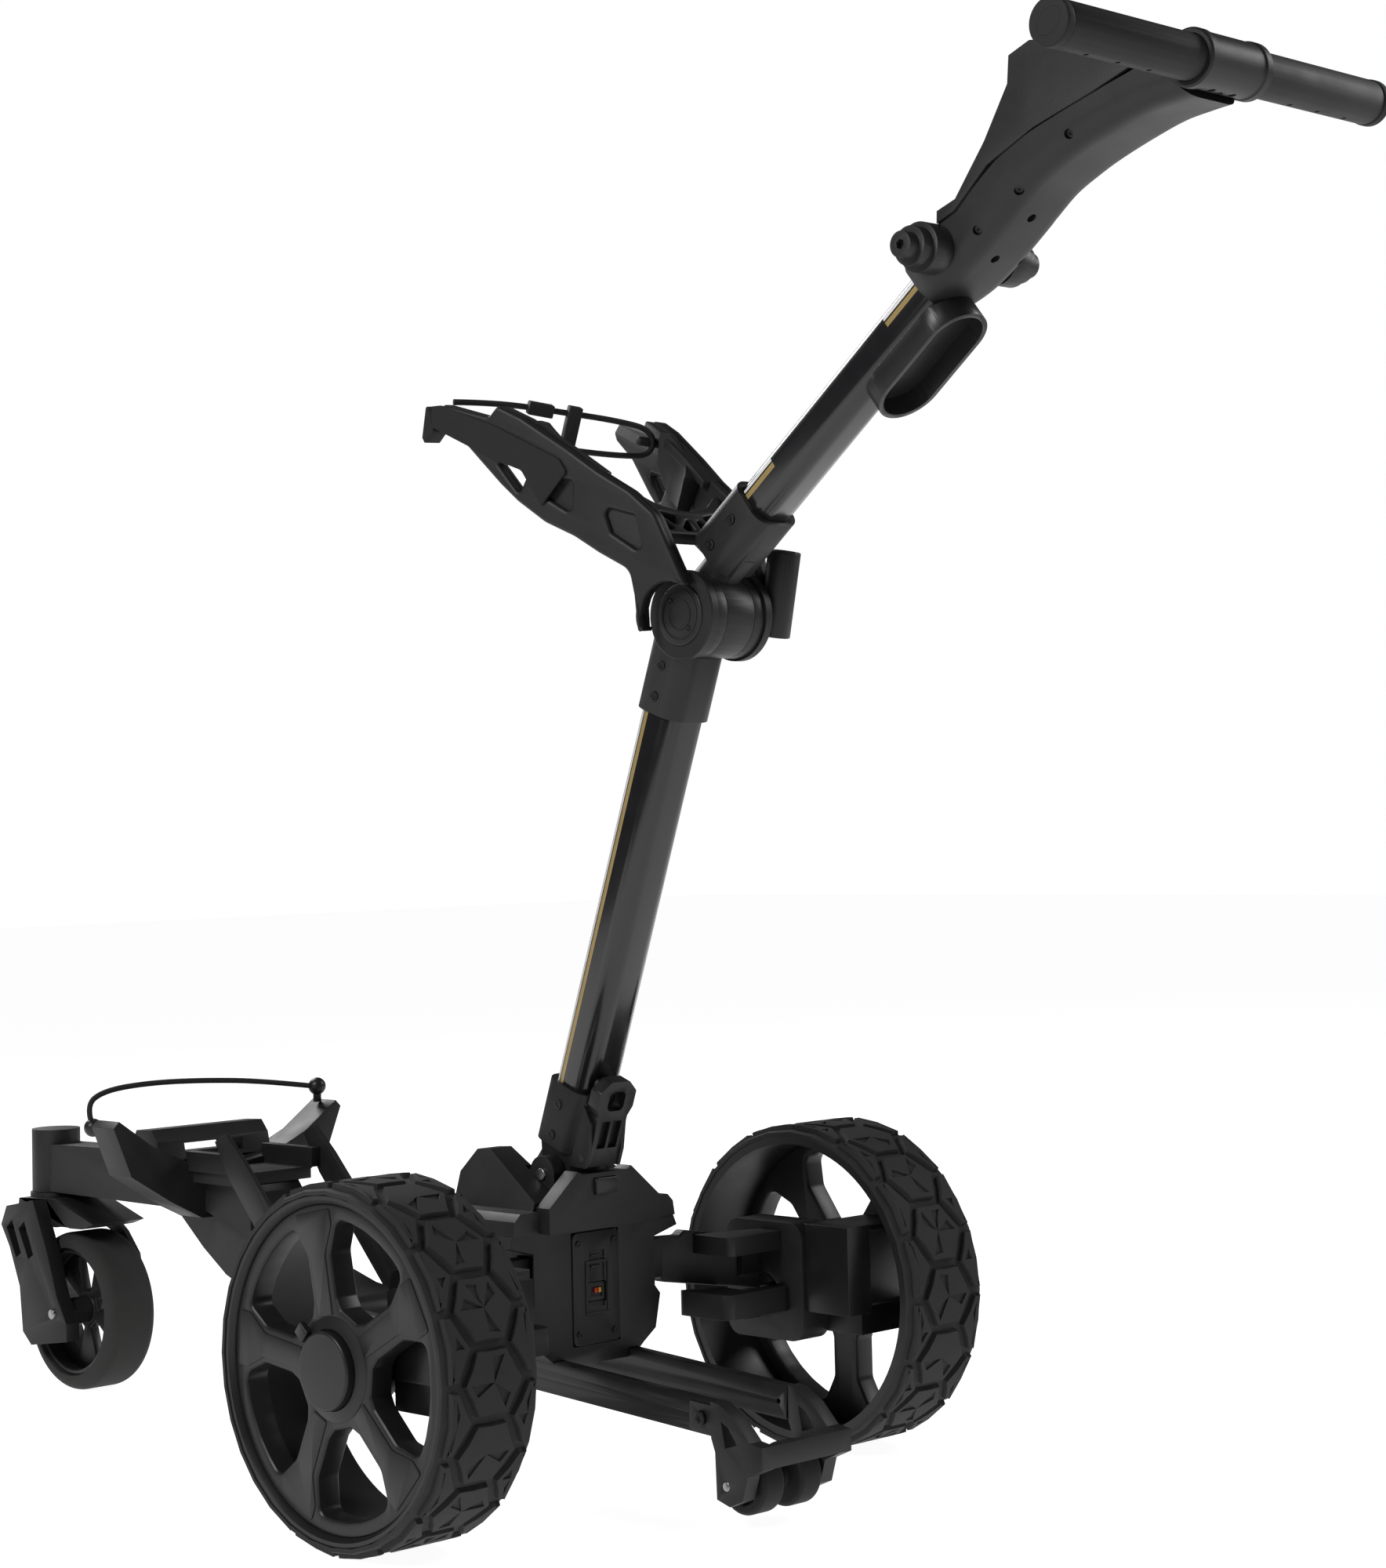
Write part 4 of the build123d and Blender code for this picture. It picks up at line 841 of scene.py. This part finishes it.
for loops, thick, edge, edge_steps, drop in (
    ([web_outline] + web_pockets, 0.012, 0.0018, 2, 0.0),
    ([web_outline], 0.003, 0.0005, 1, 0.004),
):
    layer = flat_plate("web", loops, thick, edge, edge_steps)
    added(cradle_shape, layer, web_place @ Matrix.Translation((0.0, 0.0, -drop)))
    bpy.data.meshes.remove(layer)
cradle = shown(cradle_shape, "upper_cradle_arms", frame_plastic, "mast", 30.0)
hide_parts("upper_cradle")
eased("cradle_pad_right", soft_rubber, 0.002, 3)
eased("cradle_pad_left", soft_rubber, 0.002, 3)

# The strap is a flat woven band that lies along the outside of the left arm and wraps round its tip.
strap_outline = cut_line(
    (276, 98, 3),
    (262, 103, 10),
    (203, 101, 30),
    (134, 92, 6),
    (124, 84, 3),
    (141, 50, 3),
    (168, 73, 8),
    (197, 74, 20),
    (266, 83, 3),
)
strap_back = cut_line((276, 98, 3), (262, 102, 3), (222, 102, 3), (222, 78, 3), (266, 83, 3))
strap_tip = cut_line((277, 98, 2), (270, 100, 2), (264, 80, 2), (270, 68, 1), (274, 72, 2))
strap_shape = bmesh.new()
for outline, thick, out in (
    (strap_outline, 0.0024, arm_thick + 0.0013),
    (strap_back, 0.0022, -0.0013),
    (strap_tip, arm_thick + 0.0050, arm_thick / 2),
):
    layer = flat_plate("strap", [outline], thick, 0.0007, 2)
    added(strap_shape, layer, arm_side(-1.0, out))
    bpy.data.meshes.remove(layer)
strap = shown(strap_shape, "cradle_strap_band", webbing, "mast", 30.0)
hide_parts("cradle_strap")
eased("bungee_links", soft_rubber, 0.0012)
eased("accessory_tube", frame_plastic, 0.001)

# ---- Handle and console -------------------------------------------------------------------------
# The handle tube rises from the drum to a moulded console, which is clamped round the handlebar.
console_plastic = grained("console_plastic", (0.014, 0.014, 0.015), 0.46, 0.0009, 0.00014, mottle=0.2)
grip_rubber = grained("grip_rubber", (0.012, 0.012, 0.013), 0.62, 0.0010, 0.0002, mottle=0.25)
eased("upper_clamp", black_casting, 0.0018, 3)
eased("upper_tube", tube_paint, 0.0006)
upper_round = 0.013
upper_corner = (upper_round - 0.0195, 0.028 + 0.019 - upper_round)
for name, span in (("lower_end", (0.104, 0.142)), ("upper_end", (0.296, 0.337))):
    for colour, turn, finish in (
        ("_white", (0.0024, 0.0052), white_line),
        ("_gold", (-0.0036, 0.0008), gold_line),
    ):
        corner_stripe(name + colour, handle_place, upper_corner, upper_round, turn, span, finish, "handle")
eased("handle_screws", black_screw, 0.0004)
console_foot = 0.338
bar_along, bar_drop = 0.622, 0.035
cad_handle_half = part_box("bar_caps")[1].x


def console_section(along, low, high, half, corner, steps=7):
    """Ring of points of one section: flat on top, upright sides and a rounded underside."""
    corner = min(corner, half - 0.002, (high - low) * 0.62)
    ring = [Vector((half, high, along))]
    for step in range(steps + 1):
        angle = math.pi / 2 * step / steps
        across = half - corner + corner * math.cos(angle)
        ring.append(Vector((across, low + corner - corner * math.sin(angle), along)))
    return ring + [Vector((-point.x, point.y, point.z)) for point in reversed(ring)]


def through(values, share):
    """Smooth curve through four values, between the middle two."""
    before, first, last, after = values
    return (
        first
        + 0.5 * share * (last - before)
        + share * share * (before - 2.5 * first + 2 * last - 0.5 * after)
        + share**3 * (1.5 * (first - last) + 0.5 * (after - before))
    )


def lofted(stations, corner, place, steps=5):
    """Closed shell through sections of (along, underside, top, half width), smooth from one to the next."""
    rows = []
    for index in range(len(stations) - 1):
        near = [stations[max(0, min(len(stations) - 1, index + shift))] for shift in (-1, 0, 1, 2)]
        for step in range(steps):
            rows.append([through(values, step / steps) for values in zip(*near)])
    rows.append(list(stations[-1]))
    shape = bmesh.new()
    rings = [
        [shape.verts.new(place @ point) for point in console_section(*row, corner)]
        for row in rows
    ]
    for low, high in zip(rings, rings[1:]):
        for index in range(len(low)):
            after = (index + 1) % len(low)
            shape.faces.new((low[index], low[after], high[after], high[index]))
    shape.faces.new(rings[0])
    shape.faces.new(rings[-1])
    return shape


def pierced(piece, holes):
    """Cuts round holes, each of (centre, direction, radius, depth), into a piece's mesh."""
    cutter_shape = bmesh.new()
    start = 0.004  # how far outside the surface the cutter begins
    for centre, inward, radius, depth in holes:
        turn = inward.to_track_quat("Z", "Y").to_matrix().to_4x4()
        middle = Matrix.Translation((0, 0, (depth + start) / 2))
        bmesh.ops.create_cone(
            cutter_shape,
            cap_ends=True,
            segments=20,
            radius1=radius,
            radius2=radius,
            depth=depth + start,
            matrix=Matrix.Translation(centre - inward * start) @ turn @ middle,
        )
    cutter_mesh = bpy.data.meshes.new("cutter")
    cutter_shape.to_mesh(cutter_mesh)
    cutter_shape.free()
    cutter = bpy.data.objects.new("cutter", cutter_mesh)
    bpy.context.scene.collection.objects.link(cutter)
    cut = piece.modifiers.new("holes", "BOOLEAN")
    cut.operation = "DIFFERENCE"
    cut.solver = "EXACT"
    cut.object = cutter
    graph = bpy.context.evaluated_depsgraph_get()
    mesh = bpy.data.meshes.new_from_object(piece.evaluated_get(graph))
    piece.modifiers.clear()
    piece.data = mesh
    bpy.data.objects.remove(cutter)
    bpy.data.meshes.remove(cutter_mesh)


console_stations = [
    (console_foot, 0.010, 0.046, 0.0240),
    (console_foot + 0.004, 0.0080, 0.048, 0.0270),
    (console_foot + 0.016, 0.0070, 0.048, 0.0335),
    (console_foot + 0.034, 0.0045, 0.047, 0.0358),
    (console_foot + 0.060, 0.0030, 0.040, 0.0360),
    (console_foot + 0.090, 0.0030, 0.038, 0.0362),
    (console_foot + 0.124, 0.0035, 0.037, 0.0365),
    (console_foot + 0.150, -0.0010, 0.031, 0.0368),
    (console_foot + 0.176, -0.0080, 0.022, 0.0368),
    (console_foot + 0.204, -0.0180, 0.012, 0.0366),
    (console_foot + 0.228, -0.0280, 0.002, 0.0362),
    (console_foot + 0.250, -0.0410, -0.007, 0.0360),
    (console_foot + 0.264, -0.0500, -0.012, 0.0358),
]
base_corner = 0.019
base_half = 0.036
base_shape = lofted(console_stations, base_corner, handle_place)
console_base = shown(base_shape, "console_base_moulding", console_plastic, "handle", 40.0)
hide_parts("console_base")


def underside(along, aside):
    """Point on the console's underside at this distance along and aside, and the direction into it."""
    for first, last in zip(console_stations, console_stations[1:]):
        if first[0] <= console_foot + along <= last[0]:
            share = (console_foot + along - first[0]) / (last[0] - first[0])
            low = first[1] * (1 - share) + last[1] * share
    over = max(0.0, abs(aside) - (base_half - base_corner)) / base_corner
    upright = math.sqrt(max(0.0, 1 - over * over))
    drop = base_corner * (1 - upright)
    inward = Vector((-math.copysign(over, aside), upright, 0.0))
    spot = handle_place @ Vector((aside, low + drop, console_foot + along))
    return spot, (handle_place.to_3x3() @ inward).normalized()


recesses = (
    (0.178, -0.0345),
    (0.118, -0.0300),
    (0.074, -0.0335),
    (0.100, -0.0030),
    (0.058, -0.0060),
    (0.100, 0.0300),
    (0.058, 0.0260),
)
pierced(console_base, [(*underside(along, aside), 0.0038, 0.005) for along, aside in recesses])
screw_shape = bmesh.new()
screw_profile = [
    (0.0030, 0.0012),
    (0.0030, 0.0032),
    (0.0050, 0.0032),
    (0.0050, 0.0001),
    (0.0042, 0.0001),
    (0.0042, 0.0012),
]
for along, aside in recesses:
    spot, inward = underside(along, aside)
    into = inward.to_track_quat("Z", "Y").to_matrix().to_4x4()
    turned(screw_shape, screw_profile, Matrix.Translation(spot) @ into, 20)
shown(screw_shape, "console_screws", black_screw, "handle", 30.0)

# The band that clamps the console round the handlebar has a raised collar at each end.
bar_place = handle_place @ Matrix.Translation((0.0, -bar_drop, bar_along))
band_place = bar_place @ Matrix.Rotation(math.pi / 2, 4, "Y")
band_shape = bmesh.new()
turned(
    band_shape,
    [
        (-0.0360, 0.0170),
        (-0.0360, 0.0195),
        (-0.0345, 0.0210),
        (-0.0285, 0.0210),
        (-0.0270, 0.0200),
        (0.0270, 0.0200),
        (0.0285, 0.0210),
        (0.0345, 0.0210),
        (0.0360, 0.0195),
        (0.0360, 0.0170),
    ],
    band_place,
)
band = shown(band_shape, "console_band", console_plastic, "handle", 30.0)


def bar_hole(aside, turn, radius, bar_radius):
    """Round hole into the handlebar or its band, this far aside and turned this far round the bar."""
    out = Vector((0.0, math.cos(math.radians(turn)), math.sin(math.radians(turn))))
    centre = handle_place @ (Vector((aside, -bar_drop, bar_along)) + out * bar_radius)
    return centre, handle_place.to_3x3() @ -out, radius, 0.0022


band_spots = ((-0.012, 215.0), (0.0, 222.0), (0.012, 215.0), (-0.020, 262.0))
pierced(band, [bar_hole(aside, turn, 0.0030, 0.020) for aside, turn in band_spots])
eased("console_hood", console_plastic, 0.005, 4)
eased("power_button", button_plastic, 0.0008)
grips = eased("handlebar", grip_rubber, 0.001)
grip_spots = (-0.150, -0.116, -0.082, 0.082, 0.116, 0.150)
pierced(grips, [bar_hole(aside, 216.0, 0.0020, 0.0165) for aside in grip_spots])
eased("bar_caps", soft_rubber, 0.001)
ring_profile = [(-0.002, 0.0100), (0.0004, 0.0104), (0.0008, 0.0110), (0.0004, 0.0118), (-0.002, 0.0122)]
for sign in (-1.0, 1.0):
    inset = bmesh.new()
    turned(inset, ring_profile, facing(sign, (sign * (cad_handle_half - 0.0006), 0.0, 0.0)), 48)
    bmesh.ops.scale(inset, vec=(1.0, 0.74, 1.0), verts=inset.verts)
    bmesh.ops.transform(inset, matrix=bar_place, verts=inset.verts)
    shown(inset, "cap_ring_" + ("right" if sign > 0 else "left"), soft_rubber, "handle", 30.0)
eased("accessory_posts", console_plastic, 0.0012)
eased("remote_holder", button_plastic, 0.0012)
